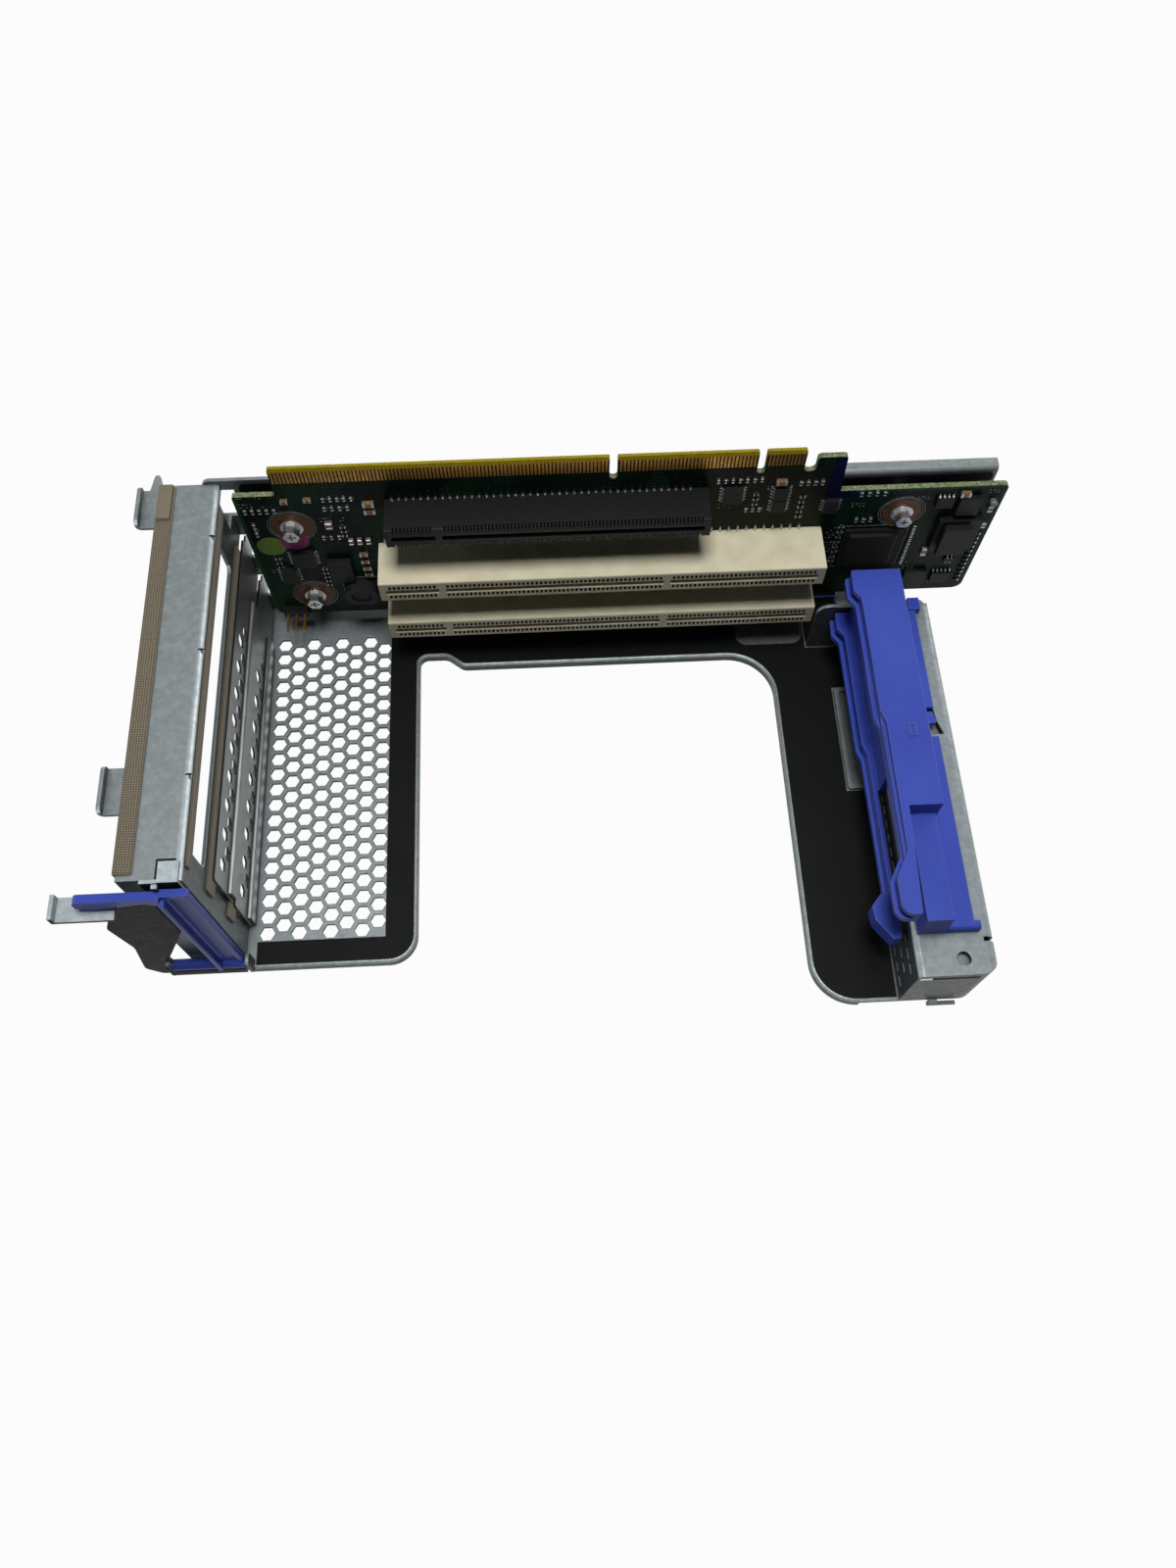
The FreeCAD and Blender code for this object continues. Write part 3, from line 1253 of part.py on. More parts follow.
nodes = {
    "base_plate": base_plate(),
    "base_film": base_film(),
    "grey_pad": grey_pad(),
    "back_wall": back_wall(),
    "back_film": back_film(),
    "slot_wall": slot_wall(),
    "top_gasket": top_gasket(),
    "slot_gaskets": slot_gaskets(),
    "middle_slot_cover": slot_cover(slot_z[1]),
    "lower_slot_cover": slot_cover(slot_z[0]),
    "latch_bracket": latch_bracket(),
    "latch_pin": latch_pin(),
    "bracket_latch": bracket_latch(),
    "riser_board": riser_board(),
    "edge_contacts": edge_contacts(),
    "standoffs": standoffs(),
    "board_screws": board_screws(),
    "lower_card_socket": socket(0, PCI_LENGTH, PCI_WIDTH, PCI_HEIGHT, slot_z[0], PCI_SLOT_INSET, PCI_KEYS),
    "upper_card_socket": socket(0, PCI_LENGTH, PCI_WIDTH, PCI_HEIGHT, slot_z[1], PCI_SLOT_INSET, PCI_KEYS),
    "express_socket": socket(
        EXPRESS_LEFT,
        EXPRESS_LENGTH,
        EXPRESS_WIDTH,
        EXPRESS_HEIGHT,
        top_slot,
        EXPRESS_SLOT_INSET,
        (EXPRESS_KEY,),
    ),
    "lower_socket_contacts": contact_rows(0, PCI_LENGTH, PCI_HEIGHT, slot_z[0], PCI_SLOT_INSET, PCI_KEYS),
    "upper_socket_contacts": contact_rows(0, PCI_LENGTH, PCI_HEIGHT, slot_z[1], PCI_SLOT_INSET, PCI_KEYS),
    "express_socket_contacts": contact_rows(
        EXPRESS_LEFT, EXPRESS_LENGTH, EXPRESS_HEIGHT, top_slot, EXPRESS_SLOT_INSET, (EXPRESS_KEY,)
    ),
    "bridge_chip": bridge_chip(),
    "logic_chips": logic_chips(),
    "power_blocks": power_blocks(),
    "inductor": inductor(),
    "can_capacitor": can_capacitor(),
    "ceramic_capacitors": ceramic_capacitors(),
    "chip_resistors": chip_resistors(),
    "pin_header": pin_header(),
    "header_pins": header_pins(),
    "support_box": support_box(),
    "card_guide": card_guide(),
}

os.makedirs("parts", exist_ok=True)
for name, shape in nodes.items():
    shape.exportStep(f"parts/{name}.step")
    state = "valid" if shape.isValid() else "INVALID"
    print(name, len(shape.Solids), "solids", round(shape.Volume, 2), "mm3", state)
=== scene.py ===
import math
import bmesh
import bpy
from mathutils import Matrix, Vector


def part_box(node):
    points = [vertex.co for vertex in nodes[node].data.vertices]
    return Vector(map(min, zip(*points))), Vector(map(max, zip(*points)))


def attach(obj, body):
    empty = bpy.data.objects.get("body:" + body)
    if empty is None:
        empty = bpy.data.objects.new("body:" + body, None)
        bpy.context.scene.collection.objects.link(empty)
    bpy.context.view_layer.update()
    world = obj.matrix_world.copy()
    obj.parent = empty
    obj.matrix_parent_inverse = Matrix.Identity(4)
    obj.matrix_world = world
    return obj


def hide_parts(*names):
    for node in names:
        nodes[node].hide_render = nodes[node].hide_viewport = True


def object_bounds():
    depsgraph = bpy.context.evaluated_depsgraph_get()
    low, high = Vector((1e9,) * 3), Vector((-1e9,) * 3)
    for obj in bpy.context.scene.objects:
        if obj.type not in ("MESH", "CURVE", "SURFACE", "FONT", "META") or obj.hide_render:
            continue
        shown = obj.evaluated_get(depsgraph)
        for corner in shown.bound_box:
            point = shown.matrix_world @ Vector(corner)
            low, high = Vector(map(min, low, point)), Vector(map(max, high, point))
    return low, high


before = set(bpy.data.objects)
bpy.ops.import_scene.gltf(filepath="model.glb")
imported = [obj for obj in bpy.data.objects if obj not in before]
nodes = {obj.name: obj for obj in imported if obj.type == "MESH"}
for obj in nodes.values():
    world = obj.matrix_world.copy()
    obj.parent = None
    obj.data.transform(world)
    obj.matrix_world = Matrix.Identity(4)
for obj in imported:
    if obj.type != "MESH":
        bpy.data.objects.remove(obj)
cad_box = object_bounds()

# Floor, light and camera: a pale floor under the cage, three soft studio lamps,
# and a camera that looks down over the open front, as in the photograph.
MM = 0.001


def linear(code):
    """Linear colour from an sRGB hex value."""
    parts = [int(code[i : i + 2], 16) / 255 for i in (1, 3, 5)]
    return tuple(c / 12.92 if c <= 0.04045 else ((c + 0.055) / 1.055) ** 2.4 for c in parts) + (1.0,)


def node(tree, kind, settings=None, inputs=None, stops=None):
    """Add a node with its settings, inputs and ramp stops; an input that is a node or a socket is linked."""
    made = tree.nodes.new(kind)
    for name, value in (settings or {}).items():
        setattr(made, name, value)
    for name, value in (inputs or {}).items():
        source = value.outputs[0] if isinstance(value, bpy.types.Node) else value
        if isinstance(source, bpy.types.NodeSocket):
            tree.links.new(source, made.inputs[name])
        else:
            made.inputs[name].default_value = source
    for place, (spot, code) in enumerate(stops or ()):
        ramp = made.color_ramp.elements
        stop = ramp[place] if place < 2 else ramp.new(spot)
        stop.position = spot
        stop.color = linear(code)
    return made


FLOOR_DROP = 0.2
FLOOR_HALF = 3.0
floor_low = cad_box[0].z - FLOOR_DROP * MM
signs = ((-1, -1), (1, -1), (1, 1), (-1, 1))
floor_corners = [(x * FLOOR_HALF, y * FLOOR_HALF, floor_low) for x, y in signs]
floor_mesh = bpy.data.meshes.new("floor")
floor_mesh.from_pydata(floor_corners, [], [(0, 1, 2, 3)])
floor = bpy.data.objects.new("floor", floor_mesh)
bpy.context.scene.collection.objects.link(floor)


def seen_white(tree, lit, white, share):
    """Mix a lit shader with a white one, by a share of what is seen directly, mirrored or through glass."""
    path = node(tree, "ShaderNodeLightPath").outputs
    mirrored = node(
        tree, "ShaderNodeMath", {"operation": "MAXIMUM"},
        {0: path["Is Glossy Ray"], 1: path["Is Transmission Ray"]},
    )
    seen = node(tree, "ShaderNodeMath", {"operation": "MAXIMUM"}, {0: path["Is Camera Ray"], 1: mirrored})
    part = node(tree, "ShaderNodeMath", {"operation": "MULTIPLY"}, {0: seen, 1: share})
    return node(tree, "ShaderNodeMixShader", inputs={0: part, 1: lit, 2: white})


# White paper: matte, with the background's white for what is seen of it directly or in a reflection. The
# share left to its matte side keeps the shadow.
SEEN_PAPER = 0.97
paper = bpy.data.materials.new("white_paper_floor")
paper.use_nodes = True
tree = paper.node_tree
tree.nodes.clear()
matte = node(tree, "ShaderNodeBsdfDiffuse", inputs={"Color": linear("#5c5c5c")})
bright = node(tree, "ShaderNodeEmission", inputs={"Color": linear("#ffffff"), "Strength": 1.0})
node(tree, "ShaderNodeOutputMaterial", inputs={"Surface": seen_white(tree, matte, bright, SEEN_PAPER)})
floor_mesh.materials.append(paper)

FILL = 0.035
world = bpy.data.worlds.new("studio")
world.use_nodes = True
tree = world.node_tree
tree.nodes.clear()
soft = node(tree, "ShaderNodeBackground", inputs={"Color": linear("#eef1f5"), "Strength": FILL})
white = node(tree, "ShaderNodeBackground", inputs={"Color": linear("#ffffff"), "Strength": 1.0})
node(tree, "ShaderNodeOutputWorld", inputs={"Surface": seen_white(tree, soft, white, 1.0)})
bpy.context.scene.world = world
bpy.context.scene.view_settings.view_transform = "Standard"

for name, spot, aim, size, power in (
    ("overhead_lamp", (0.05, -0.1, 0.94), (0.05, -0.04, 0.02), 0.3, 6.5),
    ("rear_panel", (0.62, 0.5, 0.36), (0.05, -0.04, 0.02), 0.6, 2.6),
    ("left_lamp", (-0.8, 0.12, 0.32), (0.0, -0.05, 0.02), 0.5, 1.4),
):
    lamp_data = bpy.data.lights.new(name, "AREA")
    lamp_data.size = size
    lamp_data.energy = power
    lamp = bpy.data.objects.new(name, lamp_data)
    lamp.location = spot
    lamp.rotation_mode = "QUATERNION"
    lamp.rotation_quaternion = (Vector(aim) - Vector(spot)).to_track_quat("-Z", "Y")
    bpy.context.scene.collection.objects.link(lamp)

PHOTO_HEIGHT = 1600
FOCAL_PIXELS = 1239.1
camera_data = bpy.data.cameras.new("camera")
camera_data.sensor_fit = "VERTICAL"
camera_data.sensor_height = 36.0
camera_data.lens = camera_data.sensor_height * FOCAL_PIXELS / PHOTO_HEIGHT
camera_data.clip_start = 0.01
camera = bpy.data.objects.new("camera", camera_data)
right = Vector((0.99878, -0.04925, 0.00452)).normalized()
ahead = Vector((0.02474, 0.41834, -0.90796)).normalized()
upward = right.cross(ahead)
stand = Vector((48.58, -212.20, 331.29)) * MM
camera.matrix_world = Matrix.Translation(stand) @ Matrix((right, upward, -ahead)).transposed().to_4x4()
bpy.context.scene.collection.objects.link(camera)
bpy.context.scene.camera = camera


# Base plate, back wall and bracket wall: sheets of zinc-coated steel, punched, folded
# and riveted into the cage. Support box and latch bracket are folded from the same sheet.
def finish(name, settings):
    """A node material with one surface shader: the material, its tree, the shader and object coordinates."""
    material = bpy.data.materials.new(name)
    material.use_nodes = True
    tree = material.node_tree
    tree.nodes.clear()
    surface = node(tree, "ShaderNodeBsdfPrincipled", inputs=settings)
    node(tree, "ShaderNodeOutputMaterial", inputs={"Surface": surface})
    return material, tree, surface, node(tree, "ShaderNodeTexCoord").outputs["Object"]


def feed(tree, surface, colour, rough, bump):
    """Link what drives the shader's colour, roughness and surface relief."""
    tree.links.new(colour.outputs[0], surface.inputs["Base Color"])
    tree.links.new(rough.outputs[0], surface.inputs["Roughness"])
    tree.links.new(bump.outputs[0], surface.inputs["Normal"])


def wear(material, *names):
    """Give CAD nodes a material."""
    for name in names:
        for holder in nodes[name].material_slots:
            holder.material = material


# Galvanized sheet: zinc crystals about a millimetre wide give a soft grey mottle. Light and shade are
# painted into its colour: flat faces are lighter, upright faces, hole walls and corners are darker as
# painted shade, and its bends carry a painted highlight. The latch bracket's broad faces are painted nearly
# black as shade, and its cut edges are not darkened.
SPANGLE = 1.2
CLOUD = 2.4
SHEET_EDGE = 0.35
CORNER_SHADE_REACH = 2.5


def rounded(tree, width, at_edge, on_face):
    """Normal with the sharp edges rounded, and a value that fades from the edges to the faces."""
    edge = node(tree, "ShaderNodeBevel", {"samples": 8}, {"Radius": width * MM})
    level = node(
        tree, "ShaderNodeVectorMath", {"operation": "DOT_PRODUCT"},
        {0: edge, 1: node(tree, "ShaderNodeNewGeometry").outputs["True Normal"]},
    )
    fade = {"From Min": 0.75, "From Max": 0.97, "To Min": at_edge, "To Max": on_face}
    return edge, node(tree, "ShaderNodeMapRange", inputs={"Value": level.outputs["Value"], **fade})


def sheet_light_and_shade(tree, bare, axis, across, along, rim, glint, width=SHEET_EDGE):
    """Colour and normal of a sheet with light and shade painted into its colour: how bright its bare colour
    is made on faces across an axis, on faces along it and at cut edges, how much painted highlight its bends
    get, and painted shade in its corners.
    """
    normal = node(tree, "ShaderNodeTexCoord").outputs["Normal"]
    way = node(tree, "ShaderNodeSeparateXYZ", inputs={"Vector": normal})
    turned = node(tree, "ShaderNodeMath", {"operation": "ABSOLUTE"}, {0: way.outputs[axis]})
    # Painted light and shade by facing: faces across the axis get one brightness, faces along it another.
    facing_shade = node(
        tree, "ShaderNodeMapRange",
        inputs={"Value": turned, "From Min": 0.2, "From Max": 0.9, "To Min": along, "To Max": across},
    )
    # Painted highlight on the bends, half way between the two facings, raised by the glint.
    bent = node(tree, "ShaderNodeMath", {"operation": "PINGPONG"}, {0: turned, 1: 0.5})
    shade_and_bend_highlight = node(tree, "ShaderNodeMath", {"operation": "MULTIPLY_ADD"}, {0: bent, 1: glint, 2: facing_shade})
    # Painted shade in corners and creases, from ambient occlusion.
    corner = node(tree, "ShaderNodeAmbientOcclusion", {"samples": 8}, {"Distance": CORNER_SHADE_REACH * MM})
    dark = {"From Min": 0.2, "From Max": 0.8, "To Min": 0.35, "To Max": 1.0}
    corner_shade = node(tree, "ShaderNodeMapRange", inputs={"Value": corner.outputs["AO"], **dark})
    # Painted shade at cut edges, where the rounded normal turns away from the face.
    edge, rolled = rounded(tree, width, rim, 1.0)
    faced = node(tree, "ShaderNodeMath", {"operation": "MULTIPLY"}, {0: shade_and_bend_highlight, 1: corner_shade})
    share = node(tree, "ShaderNodeMath", {"operation": "MULTIPLY"}, {0: faced, 1: rolled})
    colour = node(
        tree, "ShaderNodeMixRGB", {"blend_type": "MULTIPLY"}, {"Fac": 1.0, "Color1": bare, "Color2": share}
    )
    return colour, edge


def sheet_metal(name, settings, *look):
    """Rolled sheet with a faint crystal mottle and light and shade painted into its colour; its look is
    given as for sheet_light_and_shade.
    """
    metal, tree, surface, spot = finish(name, settings)
    flakes = node(tree, "ShaderNodeTexVoronoi", inputs={"Vector": spot, "Scale": 1 / (SPANGLE * MM)})
    flake = node(tree, "ShaderNodeSeparateColor", inputs={"Color": flakes.outputs["Color"]})
    cloud = node(
        tree, "ShaderNodeTexNoise",
        inputs={"Vector": spot, "Scale": 1 / (CLOUD * MM), "Detail": 6.0, "Roughness": 0.68},
    )
    mottle = node(tree, "ShaderNodeMath", {"operation": "MULTIPLY_ADD"}, {0: flake, 1: 0.2, 2: cloud})
    bare = node(
        tree, "ShaderNodeValToRGB", inputs={"Fac": mottle},
        stops=((0.3, "#6e7576"), (0.6, "#7d8486"), (0.9, "#8e9597")),
    )
    colour, edge = sheet_light_and_shade(tree, bare, *look)
    rough = node(
        tree, "ShaderNodeMapRange",
        inputs={"Value": mottle, "From Min": 0.35, "From Max": 0.85, "To Min": 0.48, "To Max": 0.34},
    )
    bump = node(
        tree, "ShaderNodeBump",
        inputs={"Strength": 0.2, "Distance": 0.04 * MM, "Height": mottle, "Normal": edge},
    )
    feed(tree, surface, colour, rough, bump)
    return metal


# Each sheet's axis, its painted brightness on faces across it, along it and at cut edges, and the painted
# highlight on its bends.
SATIN = {"Metallic": 0.4, "Specular IOR Level": 0.08}
NEARLY_UNGLOSSY = {"Specular IOR Level": 0.02}
sheets = {}
for sheet_name, steel_name, settings, *look in (
    ("back_wall", "rolled_galvanized_steel", SATIN, "Z", 0.9, 0.75, 0.9, 0.0),
    ("slot_wall", "bent_galvanized_steel", SATIN, "Z", 1.0, 0.75, 0.9, 6.0),
    ("support_box", "folded_galvanized_steel", SATIN, "Z", 1.0, 0.36, 0.9, 2.5),
    ("base_plate", "punched_galvanized_steel", SATIN, "Z", 1.0, 0.3, 0.45, 1.6),
    # Latch bracket: faces across Y painted nearly black as shade, other faces painted lighter.
    ("latch_bracket", "painted_shade_galvanized_steel", NEARLY_UNGLOSSY, "Y", 0.05, 2.2, 1.0, 0.0),
):
    sheets[sheet_name] = sheet_metal(steel_name, settings, *look)
    wear(sheets[sheet_name], sheet_name)


# Insulating films: black polyester sheet, die-cut and glued on the base and on the back wall,
# so that a card or the board can't touch the steel.
# Polyester film: nearly black, a fine matte grain breaks up its soft gloss, and lint shows as pale specks.
GRAIN = 0.5
HAZE = 25.0
LINT_SPACING = 9.0
film, tree, surface, spot = finish("grained_polyester_film", {"Specular IOR Level": 0.09})
grain = node(tree, "ShaderNodeTexNoise", inputs={"Vector": spot, "Scale": 1 / (GRAIN * MM), "Detail": 3.0})
haze = node(tree, "ShaderNodeTexNoise", inputs={"Vector": spot, "Scale": 1 / (HAZE * MM), "Detail": 4.0})
lint = node(tree, "ShaderNodeTexVoronoi", inputs={"Vector": spot, "Scale": 1 / (LINT_SPACING * MM)})
fleck = {"From Min": 0.015, "From Max": 0.03, "To Min": 0.55, "To Max": 0.0}
speck = node(tree, "ShaderNodeMapRange", inputs={"Value": lint.outputs["Distance"], **fleck})
shade = node(tree, "ShaderNodeMath", {"operation": "MULTIPLY_ADD"}, {0: grain, 1: 0.35, 2: speck})
colour = node(
    tree, "ShaderNodeValToRGB", inputs={"Fac": shade},
    stops=((0.08, "#050606"), (0.3, "#0c0d0e"), (0.7, "#36383a")),
)
rough = node(
    tree, "ShaderNodeMapRange",
    inputs={"Value": haze, "From Min": 0.3, "From Max": 0.7, "To Min": 0.5, "To Max": 0.62},
)
bump = node(tree, "ShaderNodeBump", inputs={"Strength": 0.5, "Distance": 0.05 * MM, "Height": grain})
feed(tree, surface, colour, rough, bump)
wear(film, "base_film", "back_film")


# Foam pad: a thin strip of grey foam stuck on the base film in front of the board,
# die-cut, with rounded soft edges.
WELD = 0.002
FLAT_ANGLE = math.radians(1)
SHARP_ANGLE = math.radians(30)


def merged(name):
    """A CAD node's triangles as one welded shape with whole flat faces."""
    shape = bmesh.new()
    shape.from_mesh(nodes[name].data)
    bmesh.ops.remove_doubles(shape, verts=shape.verts, dist=WELD * MM)
    bmesh.ops.dissolve_limit(shape, angle_limit=FLAT_ANGLE, verts=shape.verts, edges=shape.edges)
    return shape


def softened(name, radius):
    """Mesh of a CAD node with its sharp edges rolled over."""
    shape = merged(name)
    sharp = [e for e in shape.edges if e.is_manifold and e.calc_face_angle() > SHARP_ANGLE]
    bmesh.ops.bevel(
        shape, geom=sharp, offset=radius * MM, segments=3, profile=0.5, affect="EDGES", clamp_overlap=True
    )
    mesh = bpy.data.meshes.new(name)
    shape.to_mesh(mesh)
    shape.free()
    for face in mesh.polygons:
        face.use_smooth = True
    return mesh


def piece(name, mesh, material):
    """Put a finished mesh in the scene, riding on the cage."""
    made = bpy.data.objects.new(name, mesh)
    if material:
        mesh.materials.append(material)
    bpy.context.scene.collection.objects.link(made)
    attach(made, "cage")
    return made


# Foam: matte grey with open cells that show as tiny dark pits.
CELL = 0.4
PAD_ROLL = 0.16
foam, tree, surface, spot = finish("grey_cell_foam", {"Specular IOR Level": 0.2})
cells = node(tree, "ShaderNodeTexVoronoi", inputs={"Vector": spot, "Scale": 1 / (CELL * MM)})
colour = node(
    tree, "ShaderNodeValToRGB", inputs={"Fac": cells.outputs["Distance"]},
    stops=((0.1, "#3f4142"), (0.6, "#5d5f60")),
)
rough = node(
    tree, "ShaderNodeMapRange",
    inputs={"Value": cells.outputs["Distance"], "To Min": 0.95, "To Max": 0.8},
)
bump = node(
    tree, "ShaderNodeBump",
    inputs={"Strength": 0.6, "Distance": 0.1 * MM, "Height": cells.outputs["Distance"]},
)
feed(tree, surface, colour, rough, bump)
pad = piece("foam_pad", softened("grey_pad", PAD_ROLL), foam)
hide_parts("grey_pad")


# Cloth gaskets: strips of foam wrapped in conductive woven cloth, glued over the bracket wall's
# top strip and on the bars between its openings, so that it meets chassis and brackets all along.
# Conductive cloth: nickel-plated threads in a plain weave, a tan grey with a faint metal glint.
# The real threads are about 0.3 mm apart; they are drawn coarser so that they show.
THREAD = 0.65
WAVE_PERIOD = 0.314  # of the wave pattern at a scale of one
cloth, tree, surface, spot = finish("nickel_plated_cloth", {"Metallic": 0.25, "Sheen Weight": 0.2})
weave = []
for axis in ("X", "Y", "Z"):
    wave = node(
        tree, "ShaderNodeTexWave", {"wave_type": "BANDS", "bands_direction": axis},
        {
            "Vector": spot, "Scale": WAVE_PERIOD / (THREAD * MM), "Distortion": 0.6,
            "Detail": 1.0, "Detail Scale": 2.0,
        },
    )
    weave.append(wave.outputs["Fac"])
crossed = node(tree, "ShaderNodeMath", {"operation": "MULTIPLY"}, {0: weave[0], 1: weave[1]})
relief = node(tree, "ShaderNodeMath", {"operation": "MULTIPLY_ADD"}, {0: weave[2], 1: 0.3, 2: crossed})
colour = node(
    tree, "ShaderNodeValToRGB", inputs={"Fac": relief},
    stops=((0.05, "#4c4537"), (0.45, "#685f4d"), (1.0, "#827862")),
)
rough = node(tree, "ShaderNodeMapRange", inputs={"Value": relief, "To Min": 0.8, "To Max": 0.5})
bump = node(tree, "ShaderNodeBump", inputs={"Strength": 0.6, "Distance": 0.12 * MM, "Height": relief})
feed(tree, surface, colour, rough, bump)
for node_name, roll in (("top_gasket", 0.55), ("slot_gaskets", 0.3)):
    gasket = piece(node_name + "_cloth", softened(node_name, roll), cloth)
    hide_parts(node_name)


# Slot covers: two blank brackets of plated steel that close the lower slots, each with a vent
# of staggered holes and a stiffening bead.
# Plated cover sheet: a darker, evenly brushed steel; fine lines run along the bracket. Painted shade darkens
# the hole walls and a band round the punched holes, and the bead's bends carry a painted highlight.
BRUSH = 0.25
HOLE_RIM_SHADE = 0.7
cover_steel, tree, surface, spot = finish("brushed_cover_steel", {"Metallic": 0.8})
drawn = node(tree, "ShaderNodeMapping", inputs={"Vector": spot, "Scale": (1.0, 0.03, 1.0)})
lines = node(tree, "ShaderNodeTexNoise", inputs={"Vector": drawn, "Scale": 1 / (BRUSH * MM), "Detail": 3.0})
bare = node(tree, "ShaderNodeValToRGB", inputs={"Fac": lines}, stops=((0.3, "#7a7f7e"), (0.7, "#a4a8a7")))
# Painted shade on hole walls and round the holes' rims, painted highlight on the bead's bends.
colour, edge = sheet_light_and_shade(tree, bare, "X", 1.0, 0.12, 0.25, 1.6, HOLE_RIM_SHADE)
rough = node(
    tree, "ShaderNodeMapRange",
    inputs={"Value": lines, "From Min": 0.3, "From Max": 0.7, "To Min": 0.32, "To Max": 0.48},
)
bump = node(
    tree, "ShaderNodeBump", inputs={"Strength": 0.2, "Distance": 0.02 * MM, "Height": lines, "Normal": edge}
)
feed(tree, surface, colour, rough, bump)
wear(cover_steel, "middle_slot_cover", "lower_slot_cover")


# Card guide and bracket latch: blue injection mouldings. The guide stands on the box and holds
# the ends of long cards; the latch turns on its pin and clamps the card brackets.
# Blue moulding: satin, with a fine spark-eroded grain, slightly paler where the flow of plastic met, with a
# painted highlight along the rounded edges.
EROSION = 0.35
FLOW = 30.0
MOULD_EDGE = 0.4
blue, tree, surface, spot = finish("blue_abs_moulding", {"Specular IOR Level": 0.22})
flow = node(tree, "ShaderNodeTexNoise", inputs={"Vector": spot, "Scale": 1 / (FLOW * MM), "Detail": 3.0})
pits = node(tree, "ShaderNodeTexNoise", inputs={"Vector": spot, "Scale": 1 / (EROSION * MM), "Detail": 2.0})
tone = node(tree, "ShaderNodeMath", {"operation": "MULTIPLY_ADD"}, {0: pits, 1: 0.25, 2: flow})
dyed = node(tree, "ShaderNodeValToRGB", inputs={"Fac": tone}, stops=((0.4, "#2d409e"), (0.85, "#384db0")))
rough = node(
    tree, "ShaderNodeMapRange",
    inputs={"Value": pits, "From Min": 0.3, "From Max": 0.7, "To Min": 0.36, "To Max": 0.5},
)
# Painted highlight: the colour is mixed towards pale blue along the rounded edges.
edge, pale = rounded(tree, MOULD_EDGE, 0.5, 0.0)
colour = node(tree, "ShaderNodeMixRGB", inputs={"Fac": pale, "Color1": dyed, "Color2": linear("#8694dc")})
bump = node(
    tree, "ShaderNodeBump", inputs={"Strength": 0.18, "Distance": 0.03 * MM, "Height": pits, "Normal": edge}
)
feed(tree, surface, colour, rough, bump)
wear(blue, "card_guide", "bracket_latch")


# Latch pin, standoffs and screws: small parts turned from steel and plated. The pin goes through the ears
# of the latch bracket, and the screws hold the board on its standoffs.
WHOLE = (0.0, 1.0)
MIDDLE = (0.3, 0.7)


def grained(name, settings, stops, grain, detail, rough, relief, edge=0.0, span=MIDDLE):
    """A material whose one grain, in millimetres, gives its colour, its roughness over a span of the grain,
    and the strength and depth of its relief. Its edges are rounded by a radius in millimetres.
    """
    material, tree, surface, spot = finish(name, settings)
    scale = 1 / (grain * MM)
    noise = node(tree, "ShaderNodeTexNoise", inputs={"Vector": spot, "Scale": scale, "Detail": detail})
    colour = node(tree, "ShaderNodeValToRGB", inputs={"Fac": noise}, stops=stops)
    dull = {"From Min": span[0], "From Max": span[1], "To Min": rough[0], "To Max": rough[1]}
    roughness = node(tree, "ShaderNodeMapRange", inputs={"Value": noise, **dull})
    depth = {"Strength": relief[0], "Distance": relief[1] * MM, "Height": noise}
    if edge:
        depth["Normal"] = node(tree, "ShaderNodeBevel", {"samples": 4}, {"Radius": edge * MM})
    feed(tree, surface, colour, roughness, node(tree, "ShaderNodeBump", inputs=depth))
    return material


# Plated turned steel: bright, with fine marks from turning.
steel = grained(
    "plated_turned_steel", {"Metallic": 1.0}, ((0.3, "#a5a7a6"), (0.7, "#c4c6c5")),
    grain=0.3, detail=2.0, rough=(0.22, 0.36), relief=(0.1, 0.02), edge=0.15,
)
wear(steel, "latch_pin", "standoffs", "board_screws")


# Riser board: glass-fibre laminate with dark solder mask on both faces, cut to an outline with a keyed
# tongue on its top edge. It stands on three standoffs in front of the back wall.
# Solder mask: nearly black green; copper underneath shows as slightly paler areas and lines,
# vias as dots, and the sawn edge is bare yellow-green laminate.
TRACE_PITCH = 2.4
VIA_SPACING = 3.2
POUR = 14.0
GLASS = 0.8
TONGUE_MARGIN = 1.5
laminate, tree, surface, spot = finish("solder_masked_laminate", {"Specular IOR Level": 0.06})
faced = node(tree, "ShaderNodeMapping", inputs={"Vector": spot, "Rotation": (math.radians(90), 0.0, 0.0)})
pours = node(
    tree, "ShaderNodeTexVoronoi", {"distance": "CHEBYCHEV"},
    {"Vector": faced, "Scale": 1 / (POUR * MM), "Randomness": 0.8},
)
pour = node(tree, "ShaderNodeSeparateColor", inputs={"Color": pours.outputs["Color"]}).outputs
traces = node(
    tree, "ShaderNodeTexBrick", {"offset": 0.37, "squash": 0.6},
    {
        "Vector": faced, "Scale": 1 / (TRACE_PITCH * MM), "Mortar Size": 0.07, "Mortar Smooth": 0.0,
        "Brick Width": 2.3, "Row Height": 0.45, "Color1": (0, 0, 0, 1), "Color2": (0.12, 0.12, 0.12, 1),
        "Mortar": (0.45, 0.45, 0.45, 1),
    },
)
vias = node(
    tree, "ShaderNodeTexVoronoi",
    inputs={"Vector": faced, "Scale": 1 / (VIA_SPACING * MM), "Randomness": 0.9},
)
dot = {"From Min": 0.06, "From Max": 0.09, "To Min": 1.0, "To Max": 0.0}
via = node(tree, "ShaderNodeMapRange", inputs={"Value": vias.outputs["Distance"], **dot})
copper = node(tree, "ShaderNodeMath", {"operation": "MULTIPLY"}, {0: traces, 1: pour["Red"]})
shown = node(tree, "ShaderNodeMath", {"operation": "MULTIPLY_ADD"}, {0: pour["Green"], 1: 0.35, 2: copper})
dotted = node(tree, "ShaderNodeMath", {"operation": "MAXIMUM"}, {0: shown, 1: via})
